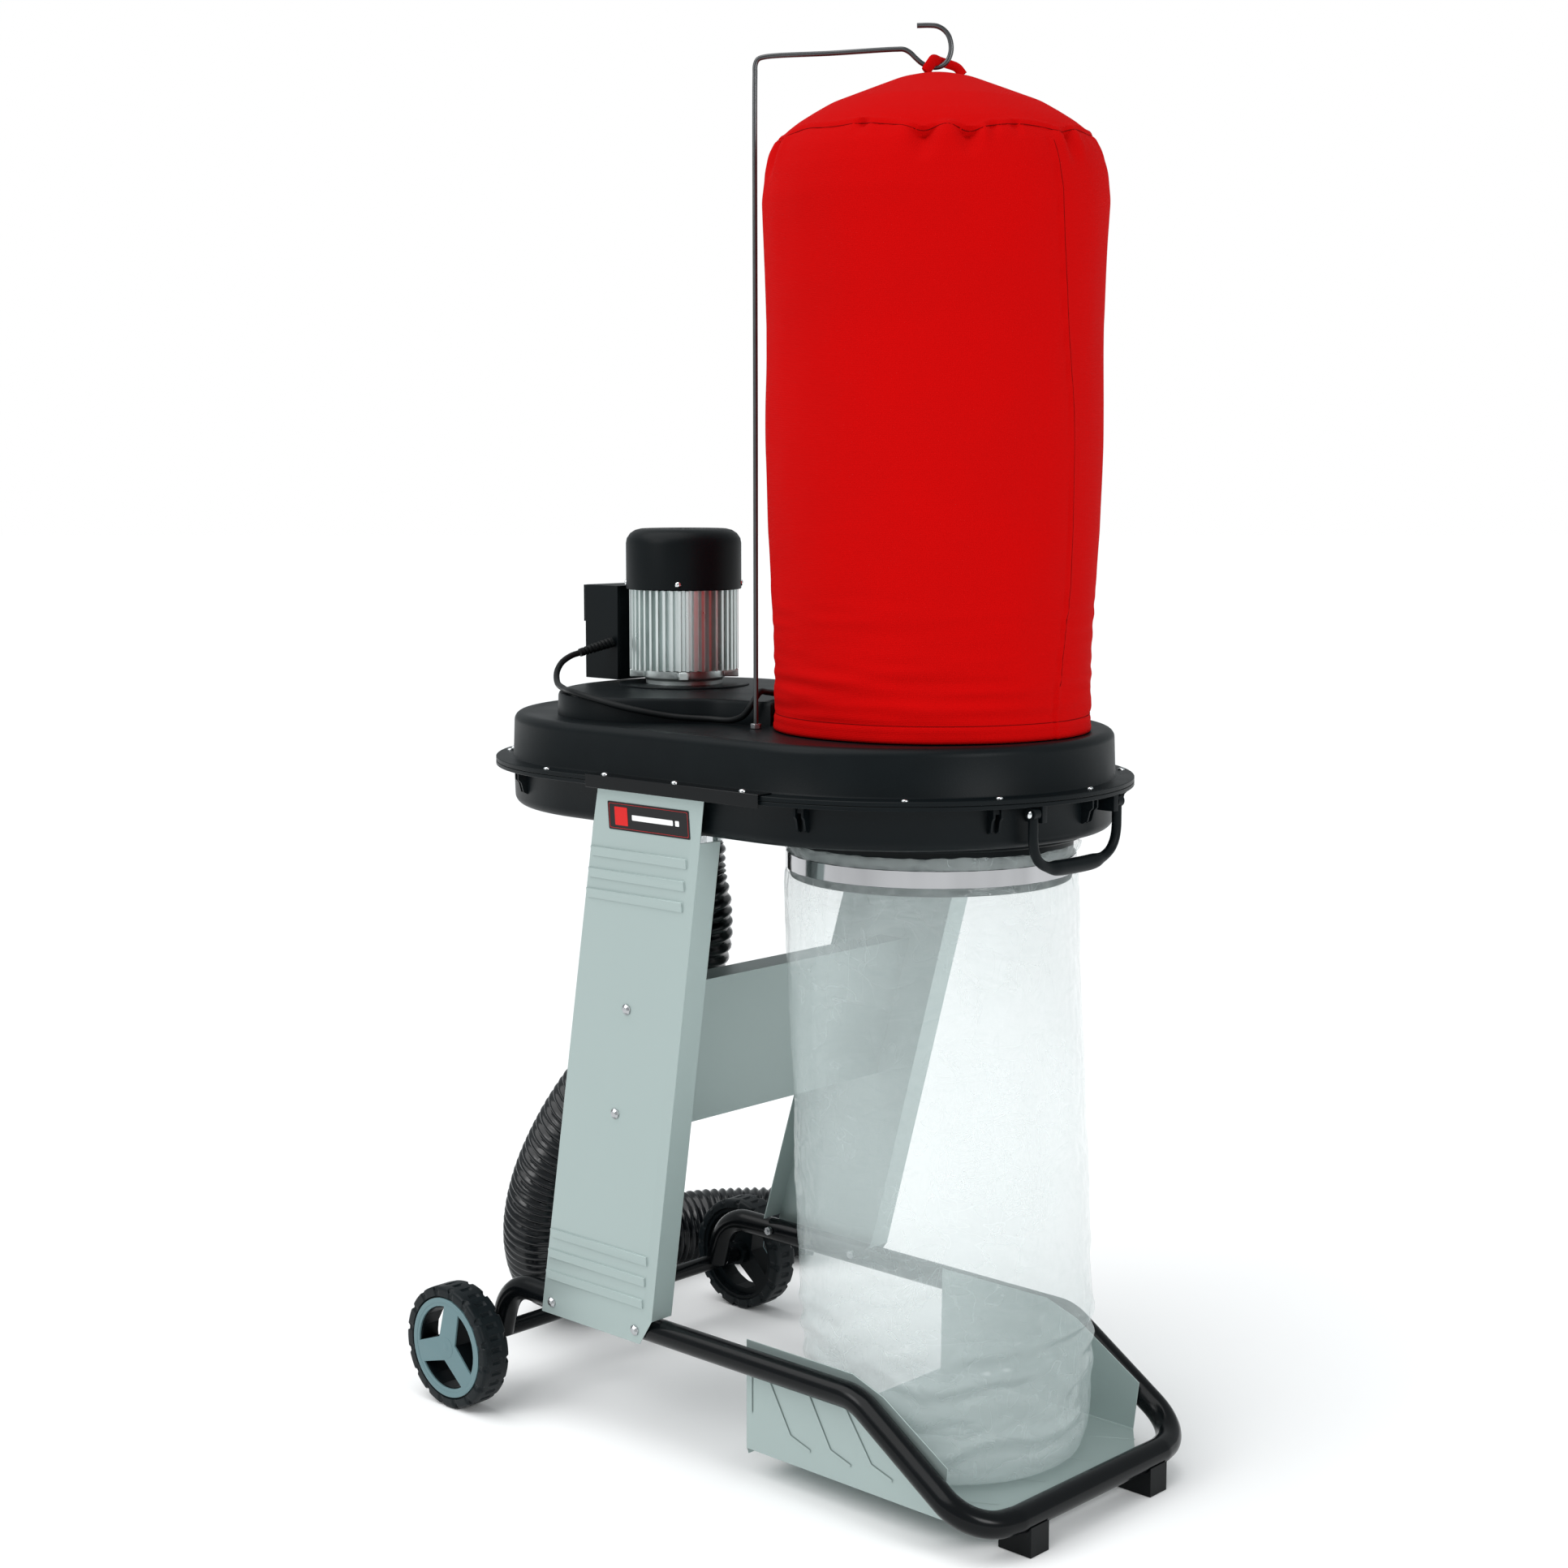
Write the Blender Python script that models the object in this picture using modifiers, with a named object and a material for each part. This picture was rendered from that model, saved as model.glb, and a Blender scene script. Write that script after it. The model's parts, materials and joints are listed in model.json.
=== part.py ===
"""Two-bag workshop dust collector, in metres, +Z up.

The origin is on the floor, under the middle of the machine. +X points to the bag tray, -X to the wheels, -Y is
the side with the name plate panel, and every paired part is mirrored in the plane Y = 0.
"""

import math

import bmesh
import bpy
from mathutils import Matrix, Vector

# ---------------------------------------------------------------- driving dimensions
GAP = 0.0003
BOTH_SIDES = (("near", -1), ("far", 1))

# Base frame: one bent tube on an axle
TUBE_R = 0.016
TUBE_WALL = 0.0015
TUBE_Y = 0.205
TUBE_Z = 0.157
TUBE_STEP = 0.055
FRONT_X = 0.450
FRONT_Z = 0.0437
AXLE_X = -0.3845
AXLE_Z = 0.0815
AXLE_TUBE_R = 0.011
AXLE_TUBE_Y = 0.2525
AXLE_R = 0.006
AXLE_END_Y = 0.2915

# Wheels and feet
WHEEL_R = 0.0815
WHEEL_INNER_Y = 0.2537
WHEEL_OUTER_Y = 0.2957
RIM_R = 0.0682
FOOT_Y = 0.1175
FOOT_WIDTH = 0.034

# Legs and cross panel: folded sheet steel, leaning back and inwards towards the floor
SHEET = 0.0015
LEG_TOP_Z = 0.8545
LEG_SHOULDER_Z = 0.799
LEG_FLANGE_END_Z = 0.1748
LEG_BOTTOM_Z = 0.1398
LEG_TOP_Y = 0.2757
LEG_SPLAY = 0.0753
LEG_FLANGE = 0.035
LEG_TOP_X = (-0.098, 0.084)
LEG_SHOULDER_X = (-0.1126, 0.0728)
LEG_LEAN = (0.2463, 0.2193)
LEG_BOTTOM_FRONT_X = -0.0892
RIB_HEIGHT = 0.012
RIB_RISE = 0.0025
RIB_Z = (0.772, 0.7445, 0.7184, 0.2548, 0.2261, 0.1958)
TUBE_BOLT_X = (-0.2531, -0.0961)
PANEL_BOLTS = ((-0.0724, 0.5774), (-0.1059, 0.439))
PANEL_Z = (0.405, 0.600)
PANEL_X = -0.058
PANEL_REF_Z = 0.577
PANEL_LEAN = 0.242

# Bag tray between the side tubes
TRAY_Y = 0.188
TRAY_X = (0.066, 0.425)
TRAY_FLOOR_Z = 0.0368
TRAY_TOP_Z = 0.176
TRAY_SHEET = 0.0012

# Housing: two shells with round ends
DECK_X = -0.013
DECK_HALF = 0.1583
BODY_R = 0.2617
FLANGE_R = 0.2857
WALL = 0.004
BODY_Z = (0.805, 0.923)
BODY_EDGE_R = 0.012
SPLIT_Z = 0.8605
FLANGE_Z = (0.8552, 0.8660)
VOLUTE_Z = 0.952
MOTOR_X = -0.229
BAG_X = 0.197
COLLAR_R = 0.1835
COLLAR_Z = 0.975
LOWER_COLLAR_R = 0.172
LOWER_COLLAR_Z = 0.745
THROAT_R = 0.165
SPIGOT_R = 0.050
SPIGOT_Z = 0.742
RAIL_X = (-0.108, 0.182)

# Motor
MOTOR_R = 0.072
FIN_COUNT = 32
FIN_DEPTH = 0.008
MOTOR_BORE_R = 0.058
MOTOR_Z = (0.9735, 1.078)
COVER_R = 0.0758
COVER_TOP_Z = 1.157
SHAFT_R = 0.0075

# Switch box on the motor's rear side
BOX_X = (-0.369, -0.3055)
BOX_Y = 0.045
BOX_Z = (0.9565, 1.081)

# Bags
FILTER_BAG_WALL = 0.0015
CLEAR_BAG_WALL = 0.0015
CLEAR_BAG_LEAN = 0.058
CLAMP_R = 0.1755
CLAMP_Z = (0.756, 0.776)

# Hanger rod, in the upright plane through the rod's foot and the filter bag's axis
ROD_R = 0.003
ROD_FOOT = Vector((0.045, -0.148, 0.905))
ROD_PLANE = Vector((0.152, 0.148, 0.0)).normalized()

# Handle at the tray end
HANDLE_X = 0.414
HANDLE_Z = 0.847
HANDLE_Y = 0.080
HANDLE_R = 0.006

# Suction hose and mains cord
HOSE_R = 0.055
CORD_R = 0.004
COIL_CENTRE = Vector((0.012, 0.186, BODY_Z[1] + GAP))
COIL_R = 0.044
COIL_TUBE_R = 0.0095

MATERIALS = {
    "frame_black": ((0.012, 0.012, 0.014), 0.25, 0.0),
    "sheet_steel": ((0.52, 0.56, 0.55), 0.38, 0.85),
    "plastic_black": ((0.02, 0.022, 0.024), 0.5, 0.0),
    "rubber": ((0.015, 0.015, 0.016), 0.7, 0.0),
    "hub_grey": ((0.16, 0.24, 0.26), 0.45, 0.0),
    "cast_aluminium": ((0.62, 0.63, 0.63), 0.35, 0.9),
    "steel": ((0.55, 0.55, 0.56), 0.3, 1.0),
    "bright_steel": ((0.72, 0.72, 0.73), 0.15, 1.0),
    "copper_iron": ((0.35, 0.2, 0.12), 0.5, 0.7),
    "red_fabric": ((0.6, 0.0, 0.0), 0.85, 0.0),
    "clear_film": ((0.86, 0.9, 0.9), 0.2, 0.0),
    "button_green": ((0.02, 0.35, 0.08), 0.4, 0.0),
    "button_red": ((0.6, 0.01, 0.01), 0.4, 0.0),
    "hose_black": ((0.012, 0.012, 0.013), 0.35, 0.0),
}


# ---------------------------------------------------------------- scene and helper functions
def empty_scene():
    for obj in list(bpy.data.objects):
        bpy.data.objects.remove(obj, do_unlink=True)
    for name in ("dust_collector", "cutters"):
        collection = bpy.data.collections.new(name)
        bpy.context.scene.collection.children.link(collection)


def put(obj, collection):
    for old in list(obj.users_collection):
        old.objects.unlink(obj)
    bpy.data.collections[collection].objects.link(obj)
    return obj


def material(slot):
    found = bpy.data.materials.get(slot)
    if found:
        return found
    color, roughness, metallic = MATERIALS[slot]
    made = bpy.data.materials.new(slot)
    made.use_nodes = True
    shader = made.node_tree.nodes["Principled BSDF"]
    shader.inputs["Base Color"].default_value = (*color, 1.0)
    shader.inputs["Roughness"].default_value = roughness
    shader.inputs["Metallic"].default_value = metallic
    return made


def piece(obj, name, slot):
    """Names an object as one sub-part, with its material."""
    obj.name = name
    obj.data.materials.clear()
    obj.data.materials.append(material(slot))
    if obj.type == "MESH":
        obj.data.shade_smooth()
        obj.data.set_sharp_from_angle(angle=math.radians(35))
    return put(obj, "dust_collector")


def helper(obj):
    """Hides an object that only cuts or joins others."""
    obj.hide_render = True
    obj.display_type = "WIRE"
    return put(obj, "cutters")


def boolean(obj, other, operation):
    modifier = obj.modifiers.new(operation.lower(), "BOOLEAN")
    modifier.operation = operation
    modifier.object = helper(other)
    return obj


def cut(obj, *others):
    for other in others:
        boolean(obj, other, "DIFFERENCE")
    return obj


def join(obj, *others):
    for other in others:
        boolean(obj, other, "UNION")
    return obj


def mesh_object(bm, name="shape"):
    mesh = bpy.data.meshes.new(name)
    bm.to_mesh(mesh)
    bm.free()
    return put(bpy.data.objects.new(name, mesh), "cutters")


def box(low, high):
    low, high = Vector(low), Vector(high)
    bpy.ops.mesh.primitive_cube_add(size=1.0, location=(low + high) / 2)
    obj = bpy.context.object
    obj.data.transform(Matrix.Diagonal((*(high - low), 1.0)))
    return obj


def aim(obj, start, direction):
    """Puts an object's origin at start and its +Z along direction."""
    obj.rotation_mode = "QUATERNION"
    obj.rotation_quaternion = Vector(direction).to_track_quat("Z", "Y")
    obj.location = start
    return obj


def cylinder(start, end, radius, end_radius=None, sides=24):
    start, end = Vector(start), Vector(end)
    length = (end - start).length
    top_radius = radius if end_radius is None else end_radius
    bpy.ops.mesh.primitive_cone_add(vertices=sides, radius1=radius, radius2=top_radius, depth=length)
    obj = bpy.context.object
    obj.data.transform(Matrix.Translation((0, 0, length / 2)))
    return aim(obj, start, end - start)


def turned(profile, centre=(0, 0, 0), sides=32, closed=False):
    """A lathe shape: profile holds (radius, height) down the outer side first."""
    mesh = bpy.data.meshes.new("turned")
    points = [(r, 0.0, z) for r, z in profile]
    edges = [(i, i + 1) for i in range(len(points) - 1)]
    if closed:
        edges.append((len(points) - 1, 0))
    mesh.from_pydata(points, edges, [])
    obj = put(bpy.data.objects.new("turned", mesh), "cutters")
    obj.location = centre
    screw = obj.modifiers.new("screw", "SCREW")
    screw.steps = sides
    screw.render_steps = sides
    screw.use_merge_vertices = True
    screw.merge_threshold = 0.00001
    return obj


def ring(inner, outer, low, high, centre=(0, 0, 0), sides=32):
    profile = [(outer, high), (outer, low), (inner, low), (inner, high)]
    return turned(profile, centre, sides, closed=True)


def solid(obj):
    """Turns a curve object into a closed mesh object in the same place."""
    graph = bpy.context.evaluated_depsgraph_get()
    mesh = bpy.data.meshes.new_from_object(obj.evaluated_get(graph))
    bm = bmesh.new()
    bm.from_mesh(mesh)
    bmesh.ops.remove_doubles(bm, verts=bm.verts, dist=0.00001)
    bm.to_mesh(mesh)
    bm.free()
    made = put(bpy.data.objects.new(obj.name, mesh), "cutters")
    made.matrix_world = obj.matrix_world.copy()
    bpy.data.objects.remove(obj, do_unlink=True)
    return made


def extruded(outlines, low, high, along="Z"):
    """A flat outline, with any holes as further outlines, extruded from low to high along Z or Y."""
    curve = bpy.data.curves.new("outline", "CURVE")
    curve.dimensions = "2D"
    curve.fill_mode = "BOTH"
    curve.extrude = (high - low) / 2
    for outline in outlines:
        spline = curve.splines.new("POLY")
        spline.points.add(len(outline) - 1)
        for point, (u, v) in zip(spline.points, outline):
            point.co = (u, v, 0.0, 1.0)
        spline.use_cyclic_u = True
    obj = put(bpy.data.objects.new("outline", curve), "cutters")
    if along == "Y":
        obj.rotation_euler = (math.pi / 2, 0.0, 0.0)
        obj.location = (0.0, (low + high) / 2, 0.0)
    else:
        obj.location = (0.0, 0.0, (low + high) / 2)
    bpy.context.view_layer.update()
    return solid(obj)


def tube(points, radius, resolution=3, caps=True):
    """A round bar along points."""
    curve = bpy.data.curves.new("tube", "CURVE")
    curve.dimensions = "3D"
    curve.bevel_depth = radius
    curve.bevel_resolution = resolution
    curve.use_fill_caps = caps
    spline = curve.splines.new("POLY")
    spline.points.add(len(points) - 1)
    for point, place in zip(spline.points, points):
        point.co = (*place, 1.0)
    return put(bpy.data.objects.new("tube", curve), "cutters")


def rounded_path(corners, step_angle=math.radians(18)):
    """A path through (corner, bend radius) pairs, with an arc at each inner corner."""
    places = [Vector(corner) for corner, _ in corners]
    path = [places[0]]
    for before, corner, after, (_, radius) in zip(places, places[1:], places[2:], corners[1:]):
        back, ahead = (before - corner).normalized(), (after - corner).normalized()
        angle = back.angle(ahead)
        centre = corner + (back + ahead).normalized() * radius / math.sin(angle / 2)
        first = corner + back * radius / math.tan(angle / 2) - centre
        last = corner + ahead * radius / math.tan(angle / 2) - centre
        turn = first.angle(last)
        steps = max(2, round(turn / step_angle))
        for k in range(steps + 1):
            path.append(centre + first.slerp(last, k / steps).normalized() * radius)
    return path + [places[-1]]


def smooth_path(route, spacing):
    """Points at an even spacing along a centripetal Catmull-Rom curve through the route's points."""
    places = [Vector(place) for place in route]
    ends = [2 * places[0] - places[1]] + places + [2 * places[-1] - places[-2]]
    fine = []
    for p0, p1, p2, p3 in zip(ends, ends[1:], ends[2:], ends[3:]):
        t1 = (p1 - p0).length ** 0.5
        t2 = t1 + (p2 - p1).length ** 0.5
        t3 = t2 + (p3 - p2).length ** 0.5
        for k in range(16):
            t = t1 + (t2 - t1) * k / 16
            a1 = p0.lerp(p1, t / t1)
            a2 = p1.lerp(p2, (t - t1) / (t2 - t1))
            a3 = p2.lerp(p3, (t - t2) / (t3 - t2))
            b1 = a1.lerp(a2, t / t2)
            b2 = a2.lerp(a3, (t - t1) / (t3 - t1))
            fine.append(b1.lerp(b2, (t - t1) / (t2 - t1)))
    fine.append(places[-1])
    lengths = [(b - a).length for a, b in zip(fine, fine[1:])]
    count = max(2, round(sum(lengths) / spacing))
    step = sum(lengths) / count
    path, walked, wanted = [fine[0]], 0.0, step
    for start, end, length in zip(fine, fine[1:], lengths):
        while wanted <= walked + length and len(path) < count:
            path.append(start.lerp(end, (wanted - walked) / length))
            wanted += step
        walked += length
    return path + [fine[-1]]


def arc(centre, radius, start, end, steps):
    """Points on an arc between two angles in degrees."""
    angles = [math.radians(start + (end - start) * k / steps) for k in range(steps + 1)]
    return [(centre[0] + radius * math.cos(a), centre[1] + radius * math.sin(a)) for a in angles]


def obround(radius, steps=14):
    """The housing's outline: a straight middle and two round ends."""
    right = arc((DECK_X + DECK_HALF, 0.0), radius, -90, 90, steps)
    left = arc((DECK_X - DECK_HALF, 0.0), radius, 90, 270, steps)
    return right + left


def rod_plane_point(along, height, aside=0.0):
    """A point in the hanger rod's plane: along it from the foot, aside from it, and at a height."""
    across = Vector((-ROD_PLANE.y, ROD_PLANE.x, 0.0))
    place = ROD_FOOT + ROD_PLANE * along + across * aside
    return Vector((place.x, place.y, height))


# ---------------------------------------------------------------- base frame
def frame_path():
    """Near end over the axle, along the near side, across the front and back along the far side."""
    near = [
        ((AXLE_X + 0.0085, -TUBE_Y, AXLE_Z + 0.004), 0.0),
        ((AXLE_X + 0.030, -TUBE_Y, TUBE_Z), TUBE_STEP),
        ((0.262, -TUBE_Y, TUBE_Z), 0.060),
        ((0.435, -TUBE_Y, FRONT_Z), 0.060),
        ((FRONT_X, -0.140, FRONT_Z), 0.020),
    ]
    far = [((x, -y, z), radius) for (x, y, z), radius in reversed(near)]
    return rounded_path(near + far)


def base_frame():
    path = frame_path()
    bore = [path[0] + (path[0] - path[1]).normalized() * 0.01, *path[1:-1]]
    bore.append(path[-1] + (path[-1] - path[-2]).normalized() * 0.01)
    obj = solid(tube(path, TUBE_R, resolution=2))
    cut(obj, solid(tube(bore, TUBE_R - TUBE_WALL, resolution=2)))
    cut(obj, cylinder((AXLE_X, -0.26, AXLE_Z), (AXLE_X, 0.26, AXLE_Z), AXLE_TUBE_R + GAP, sides=20))
    for _, side in BOTH_SIDES:
        for x in TUBE_BOLT_X:
            cut(obj, leg_drill(x, TUBE_Z, side, 0.06))
    return piece(obj, "base_frame_tube", "frame_black")


def axle():
    tube_piece = ring(AXLE_R + GAP, AXLE_TUBE_R, -AXLE_TUBE_Y, AXLE_TUBE_Y, (AXLE_X, 0, AXLE_Z), 20)
    tube_piece.rotation_euler = (math.pi / 2, 0, 0)
    piece(tube_piece, "axle_tube", "frame_black")
    rod = cylinder((AXLE_X, -AXLE_END_Y, AXLE_Z), (AXLE_X, AXLE_END_Y, AXLE_Z), AXLE_R, sides=16)
    piece(rod, "axle_rod", "steel")


def windows(centre, low, high):
    """Three fan-shaped openings round a wheel's centre, cut along Y."""
    made = []
    for k in range(3):
        middle = 18 + 120 * k
        outline = arc(centre, 0.054, middle - 45, middle + 45, 4) + [
            (centre[0] + 0.020 * math.cos(math.radians(middle)), centre[1] + 0.020 * math.sin(math.radians(middle)))
        ]
        made.append(extruded([outline], low, high, along="Y"))
    return made


def wheel(label, side):
    """One wheel: rim with hub, tyre and the star cover over its outer face."""
    centre = Vector((AXLE_X, 0.0, AXLE_Z))
    inner, outer = WHEEL_INNER_Y, WHEEL_OUTER_Y
    core_profile = [
        (RIM_R, outer - 0.004),
        (RIM_R, inner + 0.003),
        (RIM_R - 0.005, inner + 0.003),
        (RIM_R - 0.005, inner + 0.012),
        (0.016, inner + 0.012),
        (0.016, inner),
        (AXLE_R + GAP, inner),
        (AXLE_R + GAP, outer - 0.004),
    ]
    tyre_profile = [
        (WHEEL_R - 0.006, outer),
        (WHEEL_R, outer - 0.006),
        (WHEEL_R, inner + 0.006),
        (WHEEL_R - 0.006, inner),
        (RIM_R + GAP, inner),
        (RIM_R + GAP, outer),
    ]
    cover_rim = RIM_R - 0.0015
    cover_profile = [(0.0, outer - 0.001), (cover_rim, outer - 0.001), (cover_rim, outer - 0.0035)]
    cover_profile.append((0.0, outer - 0.0035))
    places = []
    for profile, sides, closed in ((core_profile, 24, True), (tyre_profile, 32, True), (cover_profile, 24, False)):
        obj = turned(profile, centre, sides, closed)
        obj.rotation_euler = (side * -math.pi / 2, 0, 0)
        places.append(obj)
    core, tyre, cover = places
    low, high = (inner - 0.01, outer + 0.01) if side > 0 else (-outer - 0.01, -inner + 0.01)
    cut(core, *windows((AXLE_X, AXLE_Z), low, high))
    cut(cover, *windows((AXLE_X, AXLE_Z), low, high))
    piece(core, f"wheel_rim_{label}", "plastic_black")
    piece(tyre, f"tyre_{label}", "rubber")
    piece(cover, f"wheel_cover_{label}", "hub_grey")


def foot(label, side):
    """A rubber wedge under the front tube, hollowed to the tube's round."""
    outline = [(0.418, 0.0), (0.4655, 0.0), (0.4655, 0.036), (0.448, 0.042), (0.438, 0.034), (0.418, 0.008)]
    centre = side * FOOT_Y
    obj = extruded([outline], centre - FOOT_WIDTH / 2, centre + FOOT_WIDTH / 2, along="Y")
    across = 0.12
    seat = cylinder(
        (FRONT_X, centre - across, FRONT_Z), (FRONT_X, centre + across, FRONT_Z), TUBE_R + 0.0006, sides=24
    )
    piece(cut(obj, seat), f"rubber_foot_{label}", "rubber")


# ---------------------------------------------------------------- legs, panel and tray
def leg_y(z):
    """Distance from the middle plane to a leg's outer face at height z."""
    return LEG_TOP_Y - (LEG_TOP_Z - z) * LEG_SPLAY


def leg_x(z, edge):
    """X of a leg's rear (0) or front (1) bend at height z."""
    return LEG_SHOULDER_X[edge] - (LEG_SHOULDER_Z - z) * LEG_LEAN[edge]


def leg_outward(side):
    return Vector((0.0, side, -LEG_SPLAY)).normalized()


def leg_drill(x, z, side, length):
    """A cutter for a bolt hole square to a leg's face."""
    start = Vector((x, side * leg_y(z), z)) + leg_outward(side) * 0.01
    return cylinder(start, start - leg_outward(side) * length, 0.0033, sides=10)


def side_leg(label, side):
    tab_z = LEG_TOP_Z - SHEET
    top_y, tab_y = leg_y(tab_z), leg_y(tab_z) + 0.008
    rows = {}

    def corner(name, x, y, z):
        rows[name] = bm.verts.new((x, side * y, z))

    bm = bmesh.new()
    corner("tab_rear", LEG_TOP_X[0], tab_y, tab_z)
    corner("tab_front", LEG_TOP_X[1], tab_y, tab_z)
    corner("top_rear", LEG_TOP_X[0], top_y, tab_z)
    corner("top_front", LEG_TOP_X[1], top_y, tab_z)
    for level, z in (("high", LEG_SHOULDER_Z), ("low", LEG_FLANGE_END_Z)):
        for edge, where in ((0, "rear"), (1, "front")):
            x = leg_x(z, edge)
            corner(f"{level}_{where}", x, leg_y(z), z)
            corner(f"{level}_{where}_lip", x, leg_y(z) - LEG_FLANGE, z)
    corner("bottom_rear", leg_x(LEG_BOTTOM_Z, 0), leg_y(LEG_BOTTOM_Z), LEG_BOTTOM_Z)
    corner("bottom_front", LEG_BOTTOM_FRONT_X, leg_y(LEG_BOTTOM_Z), LEG_BOTTOM_Z)
    faces = (
        ("tab_rear", "tab_front", "top_front", "top_rear"),
        ("top_rear", "top_front", "high_front", "high_rear"),
        ("high_rear", "high_front", "low_front", "low_rear"),
        ("low_rear", "low_front", "bottom_front", "bottom_rear"),
        ("high_rear_lip", "high_rear", "low_rear", "low_rear_lip"),
        ("high_front", "high_front_lip", "low_front_lip", "low_front"),
    )
    for names in faces:
        bm.faces.new([rows[name] for name in (names if side > 0 else reversed(names))])
    obj = mesh_object(bm)
    sheet = obj.modifiers.new("sheet", "SOLIDIFY")
    sheet.thickness = SHEET
    sheet.offset = -1.0
    sheet.use_even_offset = True
    for z in RIB_Z:
        start, end = leg_x(z, 0) + 0.003, leg_x(z, 1) - 0.018
        face = Vector((0.0, side * leg_y(z), z))
        rib = box((start, -SHEET / 2, -RIB_HEIGHT / 2), (end, RIB_RISE, RIB_HEIGHT / 2))
        rib.data.transform(Matrix.Translation(rib.location))
        rib.rotation_euler = (side * -math.atan(LEG_SPLAY) + (math.pi if side < 0 else 0.0), 0.0, 0.0)
        rib.location = face
        join(obj, rib)
    for x in TUBE_BOLT_X:
        cut(obj, leg_drill(x, TUBE_Z, side, 0.02))
    for x, z in PANEL_BOLTS:
        cut(obj, leg_drill(x, z, side, 0.02))
    return piece(obj, f"side_leg_{label}", "sheet_steel")


def leg_bolt(name, x, z, side, grip):
    """A domed bolt through a leg's face, with its nut against the part behind, grip metres inside."""
    profile = [
        (0.0, 0.0045),
        (0.004, 0.004),
        (0.0068, 0.0018),
        (0.0072, GAP),
        (0.003, GAP),
        (0.003, -grip),
        (0.0058, -grip),
        (0.0058, -grip - 0.005),
        (0.003, -grip - 0.005),
        (0.003, -grip - 0.008),
        (0.0, -grip - 0.008),
    ]
    obj = turned(profile, sides=8)
    aim(obj, (x, side * leg_y(z), z), leg_outward(side))
    piece(obj, name, "steel")


def leg_bolts():
    for label, side in BOTH_SIDES:
        for k, x in enumerate(TUBE_BOLT_X):
            where = ("rear", "front")[k]
            leg_bolt(f"tube_bolt_{label}_{where}", x, TUBE_Z, side, leg_y(TUBE_Z) - TUBE_Y + TUBE_R + 0.001)
        for k, (x, z) in enumerate(PANEL_BOLTS):
            where = ("upper", "lower")[k]
            leg_bolt(f"panel_bolt_{label}_{where}", x, z, side, 2 * SHEET + 0.0013)


def cross_panel():
    low, high = PANEL_Z
    shoulder = high - 0.015

    def end_y(z):
        return leg_y(z) - SHEET - 0.0006

    def panel_x(z):
        return PANEL_X + (z - PANEL_REF_Z) * PANEL_LEAN

    bm = bmesh.new()

    def corner(side, z, inset=0.0, back=0.0):
        return bm.verts.new((panel_x(z) - back, side * (end_y(z) - inset), z))

    rows = {}
    for side in (-1, 1):
        rows[side] = [corner(side, low), corner(side, shoulder), corner(side, high), corner(side, high, 0.01)]
    near, far = rows[-1], rows[1]
    bm.faces.new(far[::1] + near[::-1])
    top_near, top_far = corner(-1, high, 0.01, 0.045), corner(1, high, 0.01, 0.045)
    bm.faces.new((near[3], far[3], top_far, top_near))
    bm.faces.new((near[0], near[1], corner(-1, shoulder, back=0.032), corner(-1, low, back=0.032)))
    bm.faces.new((far[1], far[0], corner(1, low, back=0.032), corner(1, shoulder, back=0.032)))
    obj = mesh_object(bm)
    sheet = obj.modifiers.new("sheet", "SOLIDIFY")
    sheet.thickness = SHEET
    sheet.offset = -1.0
    sheet.use_even_offset = True
    for _, side in BOTH_SIDES:
        for x, z in PANEL_BOLTS:
            cut(obj, leg_drill(x, z, side, 0.02))
    return piece(obj, "cross_panel", "sheet_steel")


def dust_tray():
    """A folded tray: floor with cut front corners, two side plates that follow the frame, and a rear lip."""
    rear, front = TRAY_X
    low, side_front = TRAY_FLOOR_Z, front - 0.047
    bm = bmesh.new()

    def corner(x, y, z):
        return bm.verts.new((x, y, z))

    near = [corner(rear, -TRAY_Y, low), corner(side_front, -TRAY_Y, low)]
    far = [corner(rear, TRAY_Y, low), corner(side_front, TRAY_Y, low)]
    nose = [corner(front, -0.125, low), corner(front, 0.125, low)]
    bm.faces.new((near[0], near[1], nose[0], nose[1], far[1], far[0]))
    for (back, ahead), y in ((near, -TRAY_Y), (far, TRAY_Y)):
        top = [(side_front + 0.008, 0.100), (0.288, 0.160), (0.240, TRAY_TOP_Z), (rear, TRAY_TOP_Z)]
        loop = [back, ahead] + [corner(x, y, z) for x, z in top]
        bm.faces.new(loop if y > 0 else loop[::-1])
    lip = [corner(rear, side * (TRAY_Y - 0.004), low - 0.008) for side in (-1, 1)]
    bm.faces.new((far[0], lip[1], lip[0], near[0]))
    obj = mesh_object(bm)
    sheet = obj.modifiers.new("sheet", "SOLIDIFY")
    sheet.thickness = TRAY_SHEET
    sheet.offset = 1.0
    sheet.use_even_offset = True
    return piece(obj, "dust_tray", "sheet_steel")


# ---------------------------------------------------------------- housing
def pill(radius, low, high, edge):
    """The housing's rounded slab."""
    obj = extruded([obround(radius)], low, high)
    bevel = obj.modifiers.new("edge", "BEVEL")
    bevel.width = edge
    bevel.segments = 3
    bevel.limit_method = "ANGLE"
    bevel.angle_limit = math.radians(60)
    return obj


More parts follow.
